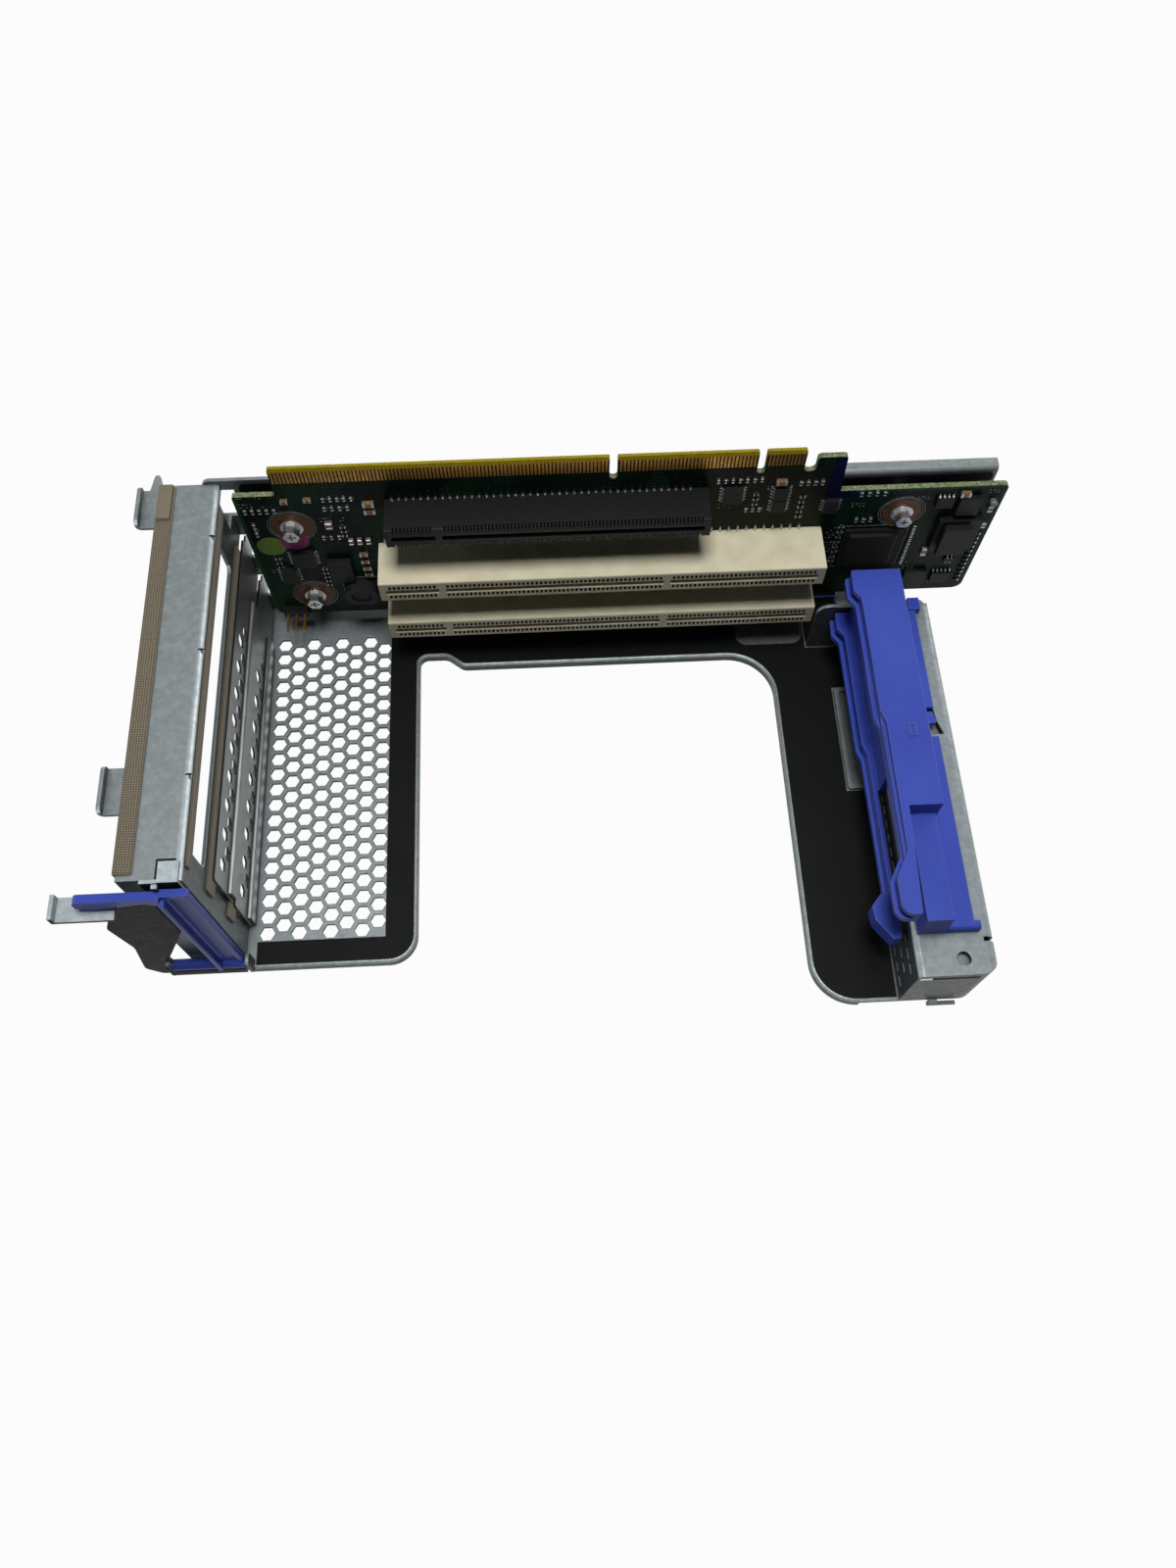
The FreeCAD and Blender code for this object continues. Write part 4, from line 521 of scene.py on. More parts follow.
mask = node(
    tree, "ShaderNodeValToRGB", inputs={"Fac": dotted},
    stops=((0.0, "#050a07"), (0.35, "#081810"), (0.6, "#153b27"), (1.0, "#4a5246")),
)
normal = node(tree, "ShaderNodeNewGeometry").outputs["Normal"]
side = node(tree, "ShaderNodeSeparateXYZ", inputs={"Vector": normal})
facing = node(tree, "ShaderNodeMath", {"operation": "ABSOLUTE"}, {0: side.outputs["Y"]})
sawn = node(tree, "ShaderNodeMath", {"operation": "LESS_THAN"}, {0: facing, 1: 0.97})
glass = node(tree, "ShaderNodeTexNoise", inputs={"Vector": spot, "Scale": 1 / (GLASS * MM), "Detail": 3.0})
place = node(tree, "ShaderNodeSeparateXYZ", inputs={"Vector": spot}).outputs
tongue_low, tongue_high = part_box("edge_contacts")
tongue_end = tongue_high.x + TONGUE_MARGIN * MM
above = node(tree, "ShaderNodeMath", {"operation": "GREATER_THAN"}, {0: place["Z"], 1: tongue_low.z})
beside = node(tree, "ShaderNodeMath", {"operation": "LESS_THAN"}, {0: place["X"], 1: tongue_end})
on_tongue = node(tree, "ShaderNodeMath", {"operation": "MULTIPLY"}, {0: above, 1: beside})


def within(tree, spot, x0, x1, z0, z1):
    """One inside a rectangle on the board, given in millimetres, and zero outside it."""
    middle = Vector(((x0 + x1) / 2, 0.0, (z0 + z1) / 2)) * MM
    half = Vector((x1 - x0, 0.0, z1 - z0)) * MM / 2
    away = node(tree, "ShaderNodeVectorMath", {"operation": "SUBTRACT"}, {0: spot, 1: middle})
    apart = node(tree, "ShaderNodeVectorMath", {"operation": "ABSOLUTE"}, {0: away})
    sides = node(tree, "ShaderNodeSeparateXYZ", inputs={"Vector": apart})
    wide = node(tree, "ShaderNodeMath", {"operation": "LESS_THAN"}, {0: sides.outputs["X"], 1: half.x})
    tall = node(tree, "ShaderNodeMath", {"operation": "LESS_THAN"}, {0: sides.outputs["Z"], 1: half.z})
    return node(tree, "ShaderNodeMath", {"operation": "MULTIPLY"}, {0: wide, 1: tall})


# Fields of the mask: olive over a copper plane, navy beside the tongue where only glass lies below, green
# where the copper stops short of the edge. Left, right, bottom and top in millimetres.
MARGIN = 1.0
board_low, board_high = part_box("riser_board")
board_x0, board_x1 = board_low.x / MM, board_high.x / MM
board_z0 = board_low.z / MM
ABOVE = 80.0
SHOULDER_Z = 58.5
TAB_X1 = 136.1
FIELDS = (
    (95.0, 127.0, 43.2, 69.0, "#1a1b14"),
    (127.0, TAB_X1, 55.6, ABOVE, "#0a1330"),
    (164.4, 173.6, 19.2, 28.8, "#14301f"),
    (-22.0, -13.0, 62.5, 69.5, "#12301f"),
    (TAB_X1 - 0.7, TAB_X1 + 0.4, SHOULDER_Z - MARGIN, ABOVE, "#1d5a2d"),
    (TAB_X1, board_x1 + 1, SHOULDER_Z - MARGIN, ABOVE, "#1d4f2b"),
    (board_x1 - 1.4 * MARGIN, board_x1 + 1, board_z0 - 1, SHOULDER_Z + 1, "#1a4628"),
    (board_x0 - 1, board_x0 + MARGIN, board_z0 - 1, ABOVE, "#1a4628"),
)
for x0, x1, z0, z1, code in FIELDS:
    field = within(tree, spot, x0, x1, z0, z1)
    mask = node(tree, "ShaderNodeMixRGB", inputs={"Fac": field, "Color1": mask, "Color2": linear(code)})
rim_plain = node(
    tree, "ShaderNodeValToRGB", inputs={"Fac": glass}, stops=((0.35, "#4d5c3c"), (0.65, "#8c9272"))
)
rim_tongue = node(
    tree, "ShaderNodeValToRGB", inputs={"Fac": glass}, stops=((0.3, "#857617"), (0.7, "#a19023"))
)
rim = node(tree, "ShaderNodeMixRGB", inputs={"Fac": on_tongue, "Color1": rim_plain, "Color2": rim_tongue})
colour = node(tree, "ShaderNodeMixRGB", inputs={"Fac": sawn, "Color1": mask, "Color2": rim})
rough = node(tree, "ShaderNodeMapRange", inputs={"Value": sawn, "To Min": 0.38, "To Max": 0.75})
bump = node(tree, "ShaderNodeBump", inputs={"Strength": 0.25, "Distance": 0.04 * MM, "Height": dotted})
feed(tree, surface, colour, rough, bump)
wear(laminate, "riser_board")


# Edge fingers: gold-plated copper strips in a row on both faces of the tongue, one millimetre apart,
# rounded at their lower ends.
def grown(mesh, tree, values):
    """Run a node tree on a mesh and give the plain mesh that comes out."""
    carrier = bpy.data.objects.new("carrier", mesh)
    bpy.context.scene.collection.objects.link(carrier)
    grow = carrier.modifiers.new("grow", "NODES")
    grow.node_group = tree
    sockets = {item.name: item.identifier for item in tree.interface.items_tree if item.in_out == "INPUT"}
    for name, value in values.items():
        grow[sockets[name]] = value
    result = bpy.data.meshes.new_from_object(carrier.evaluated_get(bpy.context.evaluated_depsgraph_get()))
    bpy.data.objects.remove(carrier)
    return result


def prism(profile, depth, axes):
    """Closed straight solid: an outline in millimetres in the first two axes, drawn out along the third."""
    order = ["xyz".index(letter) for letter in axes]
    points = []
    for end in (-0.5, 0.5):
        for u, v in profile:
            corner = [0.0, 0.0, 0.0]
            corner[order[0]] = u * MM
            corner[order[1]] = v * MM
            corner[order[2]] = end * depth * MM
            points.append(corner)
    count = len(profile)
    faces = [tuple(range(count)), tuple(range(2 * count - 1, count - 1, -1))]
    for i in range(count):
        after = (i + 1) % count
        faces.append((i, i + count, after + count, after))
    mesh = bpy.data.meshes.new("prism")
    mesh.from_pydata(points, [], faces)
    shape = bmesh.new()
    shape.from_mesh(mesh)
    bmesh.ops.recalc_face_normals(shape, faces=shape.faces)
    shape.to_mesh(mesh)
    shape.free()
    return mesh


copies_tree = bpy.data.node_groups.new("sized_copies_at_points", "GeometryNodeTree")
for name, kind in (("Geometry", "Geometry"), ("Cell", "Object"), ("Finish", "Material")):
    copies_tree.interface.new_socket(name, in_out="INPUT", socket_type="NodeSocket" + kind)
copies_tree.interface.new_socket("Geometry", in_out="OUTPUT", socket_type="NodeSocketGeometry")
given = node(copies_tree, "NodeGroupInput").outputs
shape_of = node(copies_tree, "GeometryNodeObjectInfo", inputs={"Object": given["Cell"], "As Instance": True})
size_of = node(
    copies_tree, "GeometryNodeInputNamedAttribute", {"data_type": "FLOAT_VECTOR"}, {"Name": "size"}
)
placed = node(
    copies_tree, "GeometryNodeInstanceOnPoints",
    inputs={"Points": given["Geometry"], "Instance": shape_of.outputs["Geometry"], "Scale": size_of},
)
real = node(copies_tree, "GeometryNodeRealizeInstances", inputs={"Geometry": placed})
plain = node(copies_tree, "GeometryNodeRemoveAttribute", inputs={"Geometry": real, "Name": "size"})
dressed = node(
    copies_tree, "GeometryNodeSetMaterial", inputs={"Geometry": plain, "Material": given["Finish"]}
)
node(copies_tree, "NodeGroupOutput", inputs={"Geometry": dressed})


def copies(cell, places, material, sizes=None):
    """Mesh of a cell set at each place in metres, stretched to its size if sizes are given."""
    points = bpy.data.meshes.new("places")
    points.from_pydata([tuple(p) for p in places], [], [])
    sized = points.attributes.new("size", "FLOAT_VECTOR", "POINT")
    for number, holder in enumerate(sized.data):
        holder.vector = tuple(sizes[number]) if sizes else (1.0, 1.0, 1.0)
    model = bpy.data.objects.new("cell", cell)
    bpy.context.scene.collection.objects.link(model)
    result = grown(points, copies_tree, {"Cell": model, "Finish": material})
    bpy.data.objects.remove(model)
    return result


# Gold plating: bright, a little orange, worn duller where a socket's springs have rubbed.
gold = grained(
    "gold_plating", {"Metallic": 1.0}, ((0.3, "#85602a"), (0.7, "#b98c42")),
    grain=1.2, detail=3.0, rough=(0.4, 0.26), relief=(0.1, 0.02),
)
wear(gold, "header_pins")

FINGER_PITCH = 1.0
FINGER = 0.6
FINGER_T = 0.05
FINGER_ROUND = 0.22
KEY_FACES = (65.5, 68.7, 105.5, 108.7)
finger_height = (tongue_high.z - tongue_low.z) / MM
half = FINGER / 2
finger_outline = [
    (-half, finger_height / 2),
    (-half, FINGER_ROUND - finger_height / 2),
    (FINGER_ROUND - half, -finger_height / 2),
    (half - FINGER_ROUND, -finger_height / 2),
    (half, FINGER_ROUND - finger_height / 2),
    (half, finger_height / 2),
]
middle_z = (tongue_low.z + tongue_high.z) / 2
finger_runs = []
run_ends = [tongue_low.x / MM] + list(KEY_FACES) + [tongue_high.x / MM]
for first, last in zip(run_ends[0::2], run_ends[1::2]):
    count = int((last - first - FINGER) / FINGER_PITCH) + 1
    start_x = (first + last - (count - 1) * FINGER_PITCH) / 2
    for y in (board_low.y - FINGER_T * MM / 2, board_high.y + FINGER_T * MM / 2):
        places = [((start_x + k * FINGER_PITCH) * MM, y, middle_z) for k in range(count)]
        finger_runs.append(copies(prism(finger_outline, FINGER_T, "xzy"), places, gold))


def gathered(name, meshes):
    """Several meshes as one."""
    shape = bmesh.new()
    for mesh in meshes:
        shape.from_mesh(mesh)
    whole = bpy.data.meshes.new(name)
    for material in meshes[0].materials:
        whole.materials.append(material)
    shape.to_mesh(whole)
    shape.free()
    return whole


fingers = piece("edge_fingers", gathered("edge_fingers", finger_runs), None)
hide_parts("edge_contacts")


# Screw grounds: round pads of bare copper under the board's three screws, each with two
# white rings printed round it.
def boxes(name):
    """Lowest and highest corner of each separate solid of a CAD node."""
    shape = merged(name)
    left = set(shape.verts)
    found = []
    while left:
        group = {left.pop()}
        front = list(group)
        while front:
            vert = front.pop()
            for link in vert.link_edges:
                other = link.other_vert(vert)
                if other not in group:
                    group.add(other)
                    front.append(other)
        left -= group
        low = Vector([min(v.co[i] for v in group) for i in range(3)])
        high = Vector([max(v.co[i] for v in group) for i in range(3)])
        found.append((low, high))
    shape.free()
    return sorted(found, key=lambda pair: tuple(pair[0]))


def washer(inner, outer, thick, corners=40):
    """Flat ring facing along Y, in millimetres about the origin; no hole where the inner radius is zero."""
    shape = bmesh.new()
    turns = [2 * math.pi * k / corners for k in range(corners)]
    circle = [(math.cos(turn) * MM, math.sin(turn) * MM) for turn in turns]
    loops = []
    for radius, y in ((outer, 0.0), (outer, -thick), (inner, -thick), (inner, 0.0)):
        if radius == 0:
            continue
        loops.append([shape.verts.new((radius * x, y * MM, radius * z)) for x, z in circle])
    for one, other in zip(loops, loops[1:]):
        for k in range(corners):
            after = (k + 1) % corners
            shape.faces.new((one[k], one[after], other[after], other[k]))
    if inner == 0:
        shape.faces.new(loops[0])
        shape.faces.new(loops[1])
    else:
        for k in range(corners):
            after = (k + 1) % corners
            shape.faces.new((loops[3][k], loops[3][after], loops[0][after], loops[0][k]))
    bmesh.ops.recalc_face_normals(shape, faces=shape.faces)
    mesh = bpy.data.meshes.new("washer")
    shape.to_mesh(mesh)
    shape.free()
    return mesh


# Bare copper under lacquer: a dull red brown, blotched where it has tarnished.
copper_pad = grained(
    "tarnished_copper_pad", {"Metallic": 0.6}, ((0.3, "#3a2010"), (0.7, "#5f361b")),
    grain=1.5, detail=4.0, rough=(0.6, 0.4), relief=(0.3, 0.03),
)

# Silkscreen ink: off-white, thin enough that the mask shows through in places.
ink = grained(
    "white_silkscreen_ink", {"Specular IOR Level": 0.3}, ((0.3, "#787d76"), (0.62, "#c9ccc4")),
    grain=0.5, detail=3.0, rough=(0.5, 0.75), relief=(0.2, 0.02), span=WHOLE,
)

PAD_INNER = 2.0
PAD_OUTER = 5.6
PAD_T = 0.04
RING = 0.13
RING_GAPS = (0.35, 1.0)
SILK_T = 0.03
screw_spots = []
for low, high in boxes("board_screws"):
    screw_spots.append(((low.x + high.x) / 2, board_low.y, (low.z + high.z) / 2))
pads = copies(washer(PAD_INNER, PAD_OUTER, PAD_T), screw_spots, copper_pad)
piece("screw_ground_pads", pads, None)
ring_meshes = []
for gap in RING_GAPS:
    inner = PAD_OUTER + gap
    ring_meshes.append(copies(washer(inner, inner + RING, SILK_T), screw_spots, ink))
piece("screw_silk_rings", gathered("screw_silk_rings", ring_meshes), None)


# Inspection stickers: two small oval paper stickers, one green and one magenta, stuck on the board
# below its upper left screw. They are bare.
def oval(x, z, wide, tall, thick):
    """Oval sticker on the board's front face, in millimetres."""
    mesh = washer(0, 1.0, thick, corners=48)
    for vert in mesh.vertices:
        vert.co = ((x + vert.co.x / MM * wide) * MM, vert.co.y, (z + vert.co.z / MM * tall) * MM)
    return mesh


for name, x, z, wide, tall, thick, dark, pale in (
    ("green_sticker", -30.6, 42.9, 4.1, 4.2, 0.06, "#56731a", "#6c8a28"),
    ("magenta_sticker", -23.6, 45.2, 4.1, 4.3, 0.1, "#84205f", "#982c70"),
):
    # Coated paper: even colour with a faint fibre mottle and a soft sheen.
    sticker_paper = grained(
        name + "_paper", {"Specular IOR Level": 0.4}, ((0.3, dark), (0.7, pale)),
        grain=0.9, detail=4.0, rough=(0.4, 0.6), relief=(0.1, 0.02), span=WHOLE,
    )
    piece(name, oval(x, z, wide, tall, thick), sticker_paper)


# Card sockets: moulded housings pressed on the board, two long ivory ones and a short black one.
# Rows of small square wells in their faces open over the contact springs.
# Ivory moulding: satin, warm white, with a little grey dirt in the grain.
SKIN = 0.6
DIRT = 6.0
MOULD_ROUND = 0.2
ivory, tree, surface, spot = finish("ivory_pbt_moulding", {"Specular IOR Level": 0.2})
dirt = node(tree, "ShaderNodeTexNoise", inputs={"Vector": spot, "Scale": 1 / (DIRT * MM), "Detail": 5.0})
pits = node(tree, "ShaderNodeTexNoise", inputs={"Vector": spot, "Scale": 1 / (SKIN * MM), "Detail": 2.0})
tone = node(tree, "ShaderNodeMath", {"operation": "MULTIPLY_ADD"}, {0: pits, 1: 0.3, 2: dirt})
colour = node(
    tree, "ShaderNodeValToRGB", inputs={"Fac": tone}, stops=((0.35, "#cac4a5"), (0.8, "#dcd6b9"))
)
rough = node(
    tree, "ShaderNodeMapRange",
    inputs={"Value": pits, "From Min": 0.3, "From Max": 0.7, "To Min": 0.4, "To Max": 0.55},
)
edge = node(tree, "ShaderNodeBevel", {"samples": 4}, {"Radius": MOULD_ROUND * MM})
bump = node(
    tree, "ShaderNodeBump",
    inputs={"Strength": 0.12, "Distance": 0.03 * MM, "Height": pits, "Normal": edge},
)
feed(tree, surface, colour, rough, bump)

# Black moulding: glass-filled, so its satin skin is speckled with faint grey fibres.
black = grained(
    "black_glass_filled_moulding", {"Specular IOR Level": 0.14}, ((0.35, "#0a0b0b"), (0.75, "#191b1b")),
    grain=0.4, detail=4.0, rough=(0.4, 0.58), relief=(0.15, 0.03), edge=MOULD_ROUND,
)
wear(black, "pin_header")

# Wells: the plastic inside them, in deep shade, painted dark. The dark slabs of painted shade in the sheet
# metal's joints use the same.
shaded = grained(
    "shaded_socket_well", {"Specular IOR Level": 0.2}, ((0.3, "#0c0a07"), (0.7, "#1f1b14")),
    grain=1.0, detail=2.0, rough=(0.7, 0.9), relief=(0.1, 0.02), span=WHOLE,
)

KEY_CLEAR = 1.5


def off_keys(start, pitch, count, keys):
    """Places along a socket in metres, without those that meet its keys."""
    spots = [start + k * pitch * MM for k in range(count)]
    return [x for x in spots if all(abs(x - key) > KEY_CLEAR * MM for key in keys)]


# Plastic and its slot, keys from the left end, then the wells: pitch, size, distance from the slot's middle,
# margin at the ends and depth. All in millimetres.
LONG_SOCKET = (ivory, "ivory_plastic", (18.0, 82.5), 1.27, 0.74, 1.35, 2.1, 2.6, 2.0)
SHORT_SOCKET = (black, "black_plastic", (14.6,), 1.0, 0.55, 2.2, 2.9, 2.4, 1.2)

# Springs: width, thickness, bow at the bend and at the tip in millimetres, and the margin at the slot's end.
# The bend and the tip lie at shares of the leaf's length.
LEAF = 0.5
LEAF_T = 0.12
LEAF_BOW = 0.2
TIP_BOW = 0.05
LEAF_MARGIN = 0.3
LEAF_BEND = 0.55
LEAF_TIP = 0.9
for socket_name, contacts_name, (body, slot, key_places, pitch, wide, tall, away, margin, deep) in (
    ("lower_card_socket", "lower_socket_contacts", LONG_SOCKET),
    ("upper_card_socket", "upper_socket_contacts", LONG_SOCKET),
    ("express_socket", "express_socket_contacts", SHORT_SOCKET),
):
    low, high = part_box(socket_name)
    centre = (low.z + high.z) / 2
    count = int(((high.x - low.x) / MM - 2 * margin) / pitch) + 1
    first = (low.x + high.x) / 2 - (count - 1) * pitch * MM / 2
    square = [(-wide / 2, -tall / 2), (wide / 2, -tall / 2), (wide / 2, tall / 2), (-wide / 2, tall / 2)]
    keys = [low.x + key * MM for key in key_places]
    open_spots = off_keys(first, pitch, count, keys)
    places = [(x, low.y, centre + side * away * MM) for side in (-1, 1) for x in open_spots]
    wells = copies(prism(square, 2 * deep, "xzy"), places, shaded)
    cutter = bpy.data.objects.new("wells", wells)
    bpy.context.scene.collection.objects.link(cutter)
    shape = merged(socket_name)
    solid = bpy.data.meshes.new(socket_name)
    shape.to_mesh(solid)
    shape.free()
    solid.materials.append(body)
    housing = bpy.data.objects.new("housing", solid)
    bpy.context.scene.collection.objects.link(housing)
    cut = housing.modifiers.new("wells", "BOOLEAN")
    cut.operation = "DIFFERENCE"
    cut.solver = "EXACT"
    cut.material_mode = "TRANSFER"
    cut.object = cutter
    mesh = bpy.data.meshes.new_from_object(housing.evaluated_get(bpy.context.evaluated_depsgraph_get()))
    bpy.data.objects.remove(housing)
    bpy.data.objects.remove(cutter)
    moulding = piece(socket_name + "_moulding", mesh, None)
    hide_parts(socket_name)

    # Contact springs: a bent leaf in each place along both walls of the slot.
    c_low, c_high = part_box(contacts_name)
    reach = (c_high.y - c_low.y) / MM
    sprung = [(0.0, 0.0), (-LEAF_BEND * reach, LEAF_BOW), (-LEAF_TIP * reach, TIP_BOW), (-reach, 0.0)]
    sprung += [(y, bow + LEAF_T) for y, bow in reversed(sprung)]
    count = int((c_high.x - c_low.x) / MM / pitch)
    leaf_spots = off_keys(c_low.x + LEAF_MARGIN * MM, pitch, count, keys)
    leaves = []
    for wall, inward in ((c_low.z, 1), (c_high.z, -1)):
        leaf = prism([(y, inward * bow) for y, bow in sprung], LEAF, "yzx")
        leaves.append(copies(leaf, [(x, c_high.y, wall) for x in leaf_spots], gold))
    springs = piece(contacts_name + "_springs", gathered(contacts_name, leaves), None)
    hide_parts(contacts_name)


# Solder tails: the ends of the sockets' plated pins, which stand beside the housings on the board
# as rows of short bright stubs.
TAIL_OUTLINE = [(-0.36, 0.0), (-0.3, -0.45), (-0.18, -0.75), (0.18, -0.75), (0.3, -0.45), (0.36, 0.0)]
TAIL_MARGIN = 2.0
tails = []
for socket_name, pitch, reach in (
    ("lower_card_socket", 2.54, 2.0), ("upper_card_socket", 2.54, 2.0), ("express_socket", 2.0, 0.25),
):
    low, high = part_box(socket_name)
    count = int(((high.x - low.x) / MM - 2 * TAIL_MARGIN) / pitch)
    tail_x = [low.x + (TAIL_MARGIN + k * pitch) * MM for k in range(count)]
    places = [(x, board_low.y, high.z + reach * MM / 2) for x in tail_x]
    tails.append(copies(prism(TAIL_OUTLINE, reach, "xyz"), places, steel))
piece("socket_solder_tails", gathered("socket_solder_tails", tails), None)


# Chips: a square bridge chip with a raised cap on its carrier, small-outline logic chips with rows
# of bent leads, and power transistors, all moulded in black epoxy.
# Chip epoxy: matte charcoal with a fine sandy skin.
epoxy = grained(
    "moulded_chip_epoxy", {"Specular IOR Level": 0.14}, ((0.3, "#101112"), (0.7, "#1e2021")),
    grain=0.25, detail=3.0, rough=(0.45, 0.6), relief=(0.2, 0.02), edge=0.15,
)
wear(epoxy, "logic_chips", "power_blocks", "inductor", "chip_resistors", "bridge_chip")

# Solder: bright grey tin on the leads, a little grainy.
solder = grained(
    "tin_solder", {"Metallic": 0.9}, ((0.3, "#858886"), (0.7, "#bcbebb")),
    grain=0.4, detail=3.0, rough=(0.25, 0.45), relief=(0.2, 0.03), span=WHOLE,
)

LEAD_PITCH = 1.27
LEAD = 0.42
LEAD_MARGIN = 0.3
# Out from the body and down to the board: distance from the body, height above the board.
LEAD_OUTLINE = [
    (-0.1, 0.8), (0.3, 0.8), (0.5, 0.2), (1.0, 0.2),
    (1.0, 0.0), (0.36, 0.0), (0.16, 0.6), (-0.1, 0.6),
]
lead_places = {"+x": [], "-x": [], "+z": [], "-z": []}
for low, high in boxes("logic_chips"):
    along_z = high.z - low.z > high.x - low.x
    span = (high.z - low.z if along_z else high.x - low.x) / MM
    count = int((span - 2 * LEAD_MARGIN) / LEAD_PITCH) + 1
    offset = (span - (count - 1) * LEAD_PITCH) / 2
    for k in range(count):
        step = (offset + k * LEAD_PITCH) * MM
        if along_z:
            lead_places["+x"].append((high.x, board_low.y, low.z + step))
            lead_places["-x"].append((low.x, board_low.y, low.z + step))
        else:
            lead_places["+z"].append((low.x + step, board_low.y, high.z))
            lead_places["-z"].append((low.x + step, board_low.y, low.z))
lead_meshes = []
for way, places in lead_places.items():
    if places:
        sign = 1 if way[0] == "+" else -1
        outline = [(sign * out, -rise) for out, rise in LEAD_OUTLINE]
        lead_meshes.append(copies(prism(outline, LEAD, "xyz" if way[1] == "x" else "zyx"), places, solder))
piece("chip_leads", gathered("chip_leads", lead_meshes), None)


# Small parts: capacitors of tan ceramic and black resistors, each with tinned ends, soldered on pads,
# and one capacitor in an aluminium can.
def chamfered_block(chamfer):
    """Unit block with its edges cut off."""
    shape = bmesh.new()
    bmesh.ops.create_cube(shape, size=1.0)
    bmesh.ops.bevel(shape, geom=shape.edges[:], offset=chamfer, segments=1, affect="EDGES")
    mesh = bpy.data.meshes.new("block")
    shape.to_mesh(mesh)
    shape.free()
    return mesh


# Fired ceramic: brown tan, faintly mottled, with a waxy sheen.
tan = grained(
    "tan_capacitor_ceramic", {"Specular IOR Level": 0.5}, ((0.3, "#6b4a2b"), (0.7, "#8d6840")),
    grain=0.7, detail=3.0, rough=(0.3, 0.5), relief=(0.1, 0.02), span=WHOLE,
)
wear(tan, "ceramic_capacitors")

# Drawn aluminium: as pale and satin as the rolled sheet, with the same painted shade on upright faces, cut
# edges and corners.
wear(sheet_metal("drawn_aluminium_can", SATIN, "Z", 0.9, 0.75, 0.9, 0.0), "can_capacitor")

END_SHARE = 0.26
PROUD = 0.04
end_places = []
end_sizes = []


def tin_ends(low, high, ends=(0, 1)):
    """Note the tinned ends of a small part that lies between two corners."""
    size = high - low
    axis = 0 if size.x > size.z else 2
    for end in ends:
        middle = (low + high) / 2
        wrap = size + Vector((2, 2, 2)) * PROUD * MM
        wrap[axis] = END_SHARE * size[axis]
        inset = END_SHARE * size[axis] - 2 * PROUD * MM
        middle[axis] = (low, high)[end][axis] + (0.5 - end) * inset
        end_places.append(middle)
        end_sizes.append(wrap)


# The inner ends of the column by the board's right edge lie in the dark of the mask.
COLUMN_LEFT = 170.0
for low, high in boxes("ceramic_capacitors"):
    tin_ends(low, high)
for low, high in boxes("chip_resistors"):
    tin_ends(low, high, (1,) if low.x > COLUMN_LEFT * MM else (0, 1))

# Rows of the smallest parts: first place, step, count and size, in millimetres along the board.
TINY_ROWS = (
    (-33.6, 52.0, 0.0, -2.0, 3, 0.8, 1.5),
    (-30.8, 36.6, 0.0, -2.1, 3, 1.5, 0.8),
    (-18.2, 30.8, 0.0, -2.0, 5, 1.4, 0.7),
    (-15.4, 45.6, 2.2, 0.0, 3, 0.8, 1.5),
    (-9.6, 50.4, 0.0, -1.9, 3, 1.5, 0.8),
    (-12.8, 58.6, 2.1, 0.0, 4, 0.8, 1.5),
    (-12.4, 62.6, 1.9, 0.0, 5, 0.7, 1.3),
    (95.6, 64.2, 2.0, 0.0, 7, 0.7, 1.3),
    (104.6, 51.2, 1.9, 0.0, 3, 0.8, 1.4),
    (106.4, 58.2, 0.0, -2.1, 3, 1.4, 0.7),
    (118.6, 62.0, 2.0, 0.0, 4, 0.8, 1.5),
    (119.6, 56.4, 0.0, -2.2, 5, 1.5, 0.8),
    (136.6, 56.2, 2.2, 0.0, 4, 0.8, 1.5),
    (137.4, 44.4, 2.1, 0.0, 3, 0.8, 1.4),
    (133.4, 24.8, 0.0, 2.4, 8, 1.4, 0.7),
)
TINY_RISE = 0.5
tiny_places = []
tiny_sizes = []
for x, z, dx, dz, count, wide, tall in TINY_ROWS:
    for k in range(count):
        low = Vector((x + k * dx, -TINY_RISE, z + k * dz)) * MM
        size = Vector((wide, TINY_RISE, tall)) * MM
        tiny_places.append(low + size / 2)
        tiny_sizes.append(size)
        tin_ends(low, low + size)
BODY_CHAMFER = 0.08
END_CHAMFER = 0.1
bodies = copies(chamfered_block(BODY_CHAMFER), tiny_places, epoxy, tiny_sizes)
piece("small_part_bodies", bodies, None)
ends = copies(chamfered_block(END_CHAMFER), end_places, solder, end_sizes)
piece("small_part_ends", ends, None)


# Silkscreen marks: white ink printed thinly on the mask, as outlines round the chips, short strokes
# beside the small parts and fields of specks.
STROKE = 0.18
STROKE_GAP = 0.35
STROKE_HALF = 0.35
CROSS_GAP = 0.3
CROSS_HALF = 0.4
THIN_CHAMFER = 0.02
stroke_places = []
stroke_sizes = []


def stroke(x0, z0, x1, z1):
    """Note a printed bar between two corners, in metres."""
    stroke_places.append(((x0 + x1) / 2, board_low.y - SILK_T * MM / 2, (z0 + z1) / 2))
    stroke_sizes.append((abs(x1 - x0), SILK_T * MM, abs(z1 - z0)))


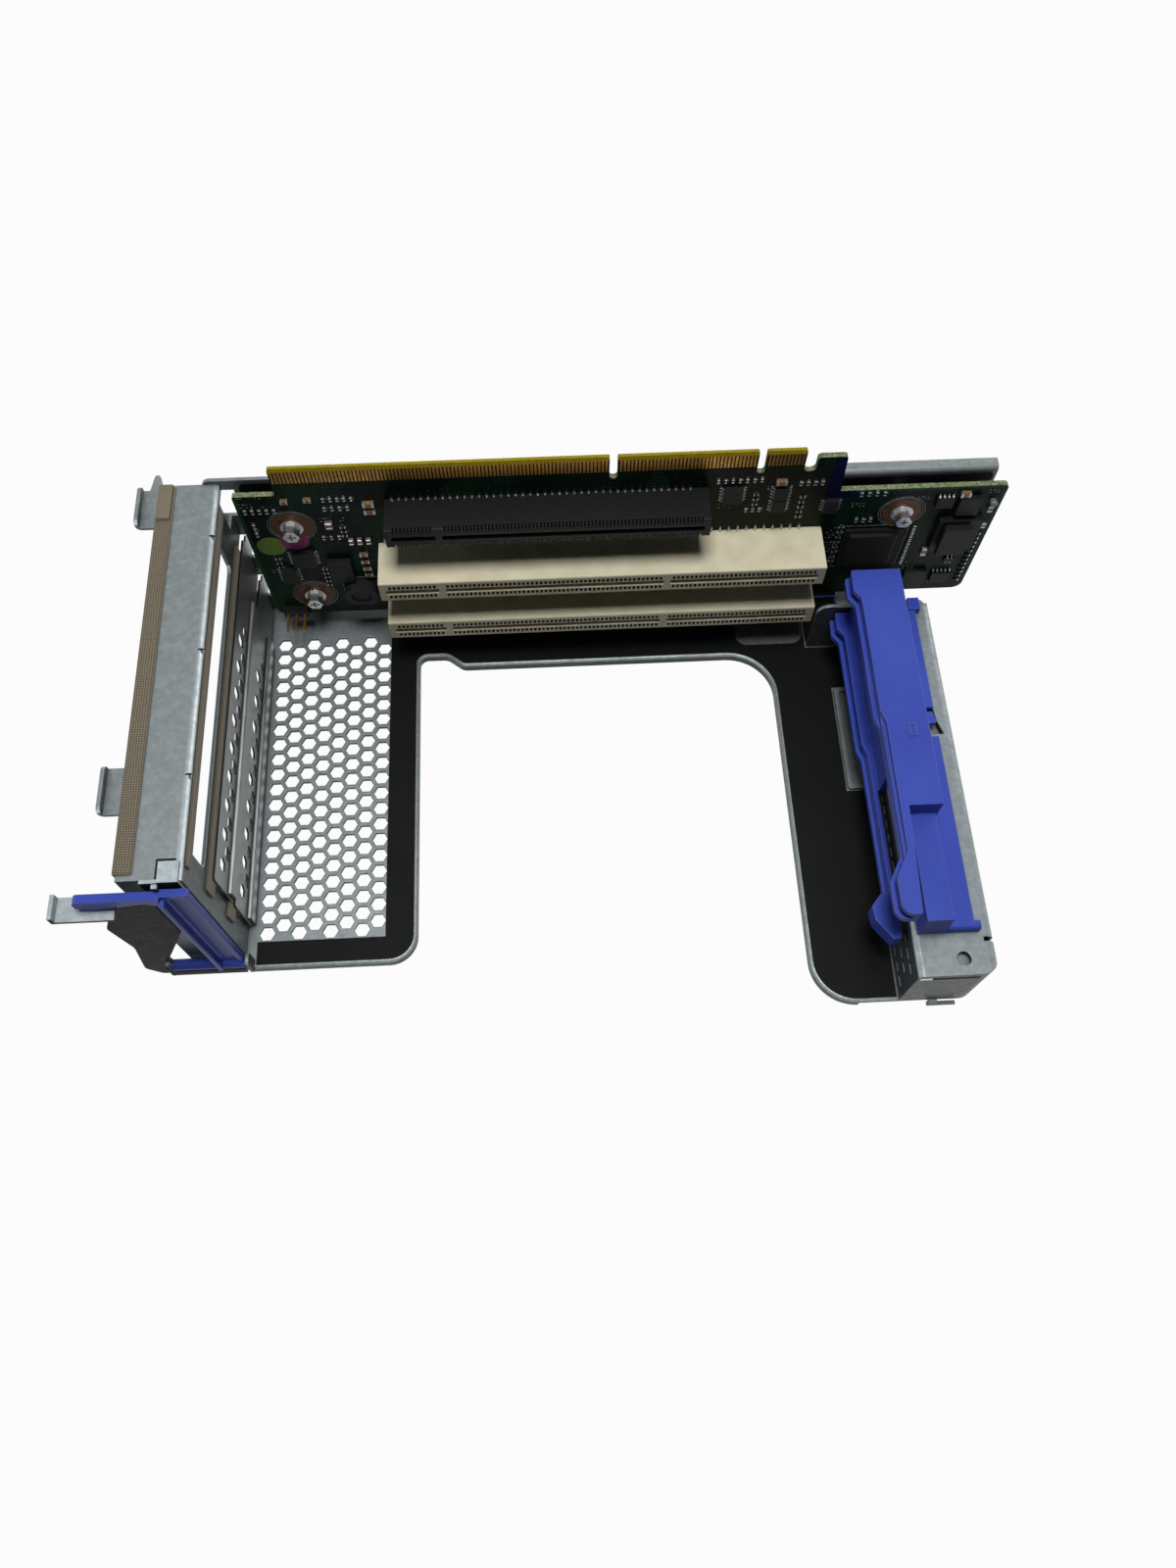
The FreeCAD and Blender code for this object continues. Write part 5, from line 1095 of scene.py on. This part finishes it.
# Fields of specks: left and bottom in millimetres, step across and up, columns and rows. A fixed rule
# leaves some out and makes some longer.
SPECKS = (
    (130.3, 25.4, 0.95, 1.15, 4, 15),
    (135.2, 51.2, 1.1, 1.2, 6, 3),
    (153.8, 53.6, 0.9, 0.9, 5, 3),
    (173.6, 55.4, 0.8, 0.9, 5, 3),
    (97.0, 53.0, 0.9, 1.3, 5, 7),
    (110.0, 60.4, 0.9, 1.1, 8, 3),
    (-35.2, 60.6, 1.0, 1.3, 7, 4),
    (-24.4, 33.4, 0.9, 1.0, 6, 5),
    (-33.0, 30.2, 1.0, 1.1, 5, 3),
    (-14.6, 53.4, 0.9, 1.2, 8, 3),
    (157.4, 19.6, 0.9, 1.1, 6, 4),
)
SPECK = 0.26
LONG_SPECK = 2.2
for x, z, across, up, columns, rows in SPECKS:
    for k in range(columns * rows):
        i, j = k % columns, k // columns
        if (5 * i + 3 * j + i * j) % 7 < 4:
            left, bottom = x + i * across, z + j * up
            longer = SPECK * (LONG_SPECK if (i + 2 * j) % 3 == 0 else 1.0)
            stroke(left * MM, bottom * MM, (left + longer) * MM, (bottom + SPECK) * MM)
for group, clear in (("bridge_chip", 1.1), ("inductor", 0.6)):
    for low, high in boxes(group):
        x0, x1 = low.x - clear * MM, high.x + clear * MM
        z0, z1 = low.z - clear * MM, high.z + clear * MM
        stroke(x0, z1, x1, z1 + STROKE * MM)
        stroke(x0, z0 - STROKE * MM, x1, z0)
        stroke(x0 - STROKE * MM, z0, x0, z1)
        stroke(x1, z0, x1 + STROKE * MM, z1)
for number, (middle, size) in enumerate(zip(tiny_places, tiny_sizes)):
    beside = middle.x + size.x / 2 + STROKE_GAP * MM
    above = middle.z + size.z / 2 + CROSS_GAP * MM
    if number % 2:
        stroke(beside, middle.z - STROKE_HALF * MM, beside + STROKE * MM, middle.z + STROKE_HALF * MM)
    else:
        stroke(middle.x - CROSS_HALF * MM, above, middle.x + CROSS_HALF * MM, above + STROKE * MM)
marks = copies(chamfered_block(THIN_CHAMFER), stroke_places, ink, stroke_sizes)
piece("board_silk_marks", marks, None)


# Sheet details: the box front's lip folded back under the screw hole, a dark slab of painted shade in the
# joint above the front wall with a bright steel slab of painted highlight at the corner beside it, a dark
# slab of painted shade round the tab folded over the strip's end, and the film's corner behind the ear with
# a narrow blue edge.
def slab(name, material, slot, *corners):
    """A piece of flat bars, each from its low corner to its high corner in millimetres."""
    lows = [Vector(low) * MM for low, high in corners]
    highs = [Vector(high) * MM for low, high in corners]
    places = [(low + high) / 2 for low, high in zip(lows, highs)]
    sizes = [high - low for low, high in zip(lows, highs)]
    piece(name, copies(chamfered_block(THIN_CHAMFER), places, material, sizes), None)


slab("hole_lip", sheets["support_box"], "galvanized_sheet", ((147.0, -129.0, 20.9), (158.0, -120.5, 21.7)))
# Painted shade: a dark slab in the joint under the top sheet's edge.
slab("front_joint", shaded, "black_film", ((144.6, -130.05, 20.8), (157.0, -129.2, 22.2)))
# Painted highlight: a bright steel slab at the corner beside the joint.
slab("front_bare_corner", steel, "galvanized_sheet", ((141.2, -130.05, 20.9), (144.4, -129.2, 22.3)))
# Painted shade: a dark slab round the folded tab.
slab("fold_joint", shaded, "black_film", ((-46.95, -109.0, 63.0), (-42.2, -103.3, 63.14)))
slab("film_corner", film, "black_film", ((128.7, -13.8, 1.0), (140.6, 6.3, 1.25)))
slab(
    "film_blue_edge", blue, "blue_plastic",
    ((131.4, 2.5, 1.25), (140.6, 3.1, 1.35)), ((140.0, 0.4, 1.25), (140.6, 2.5, 1.35)),
)
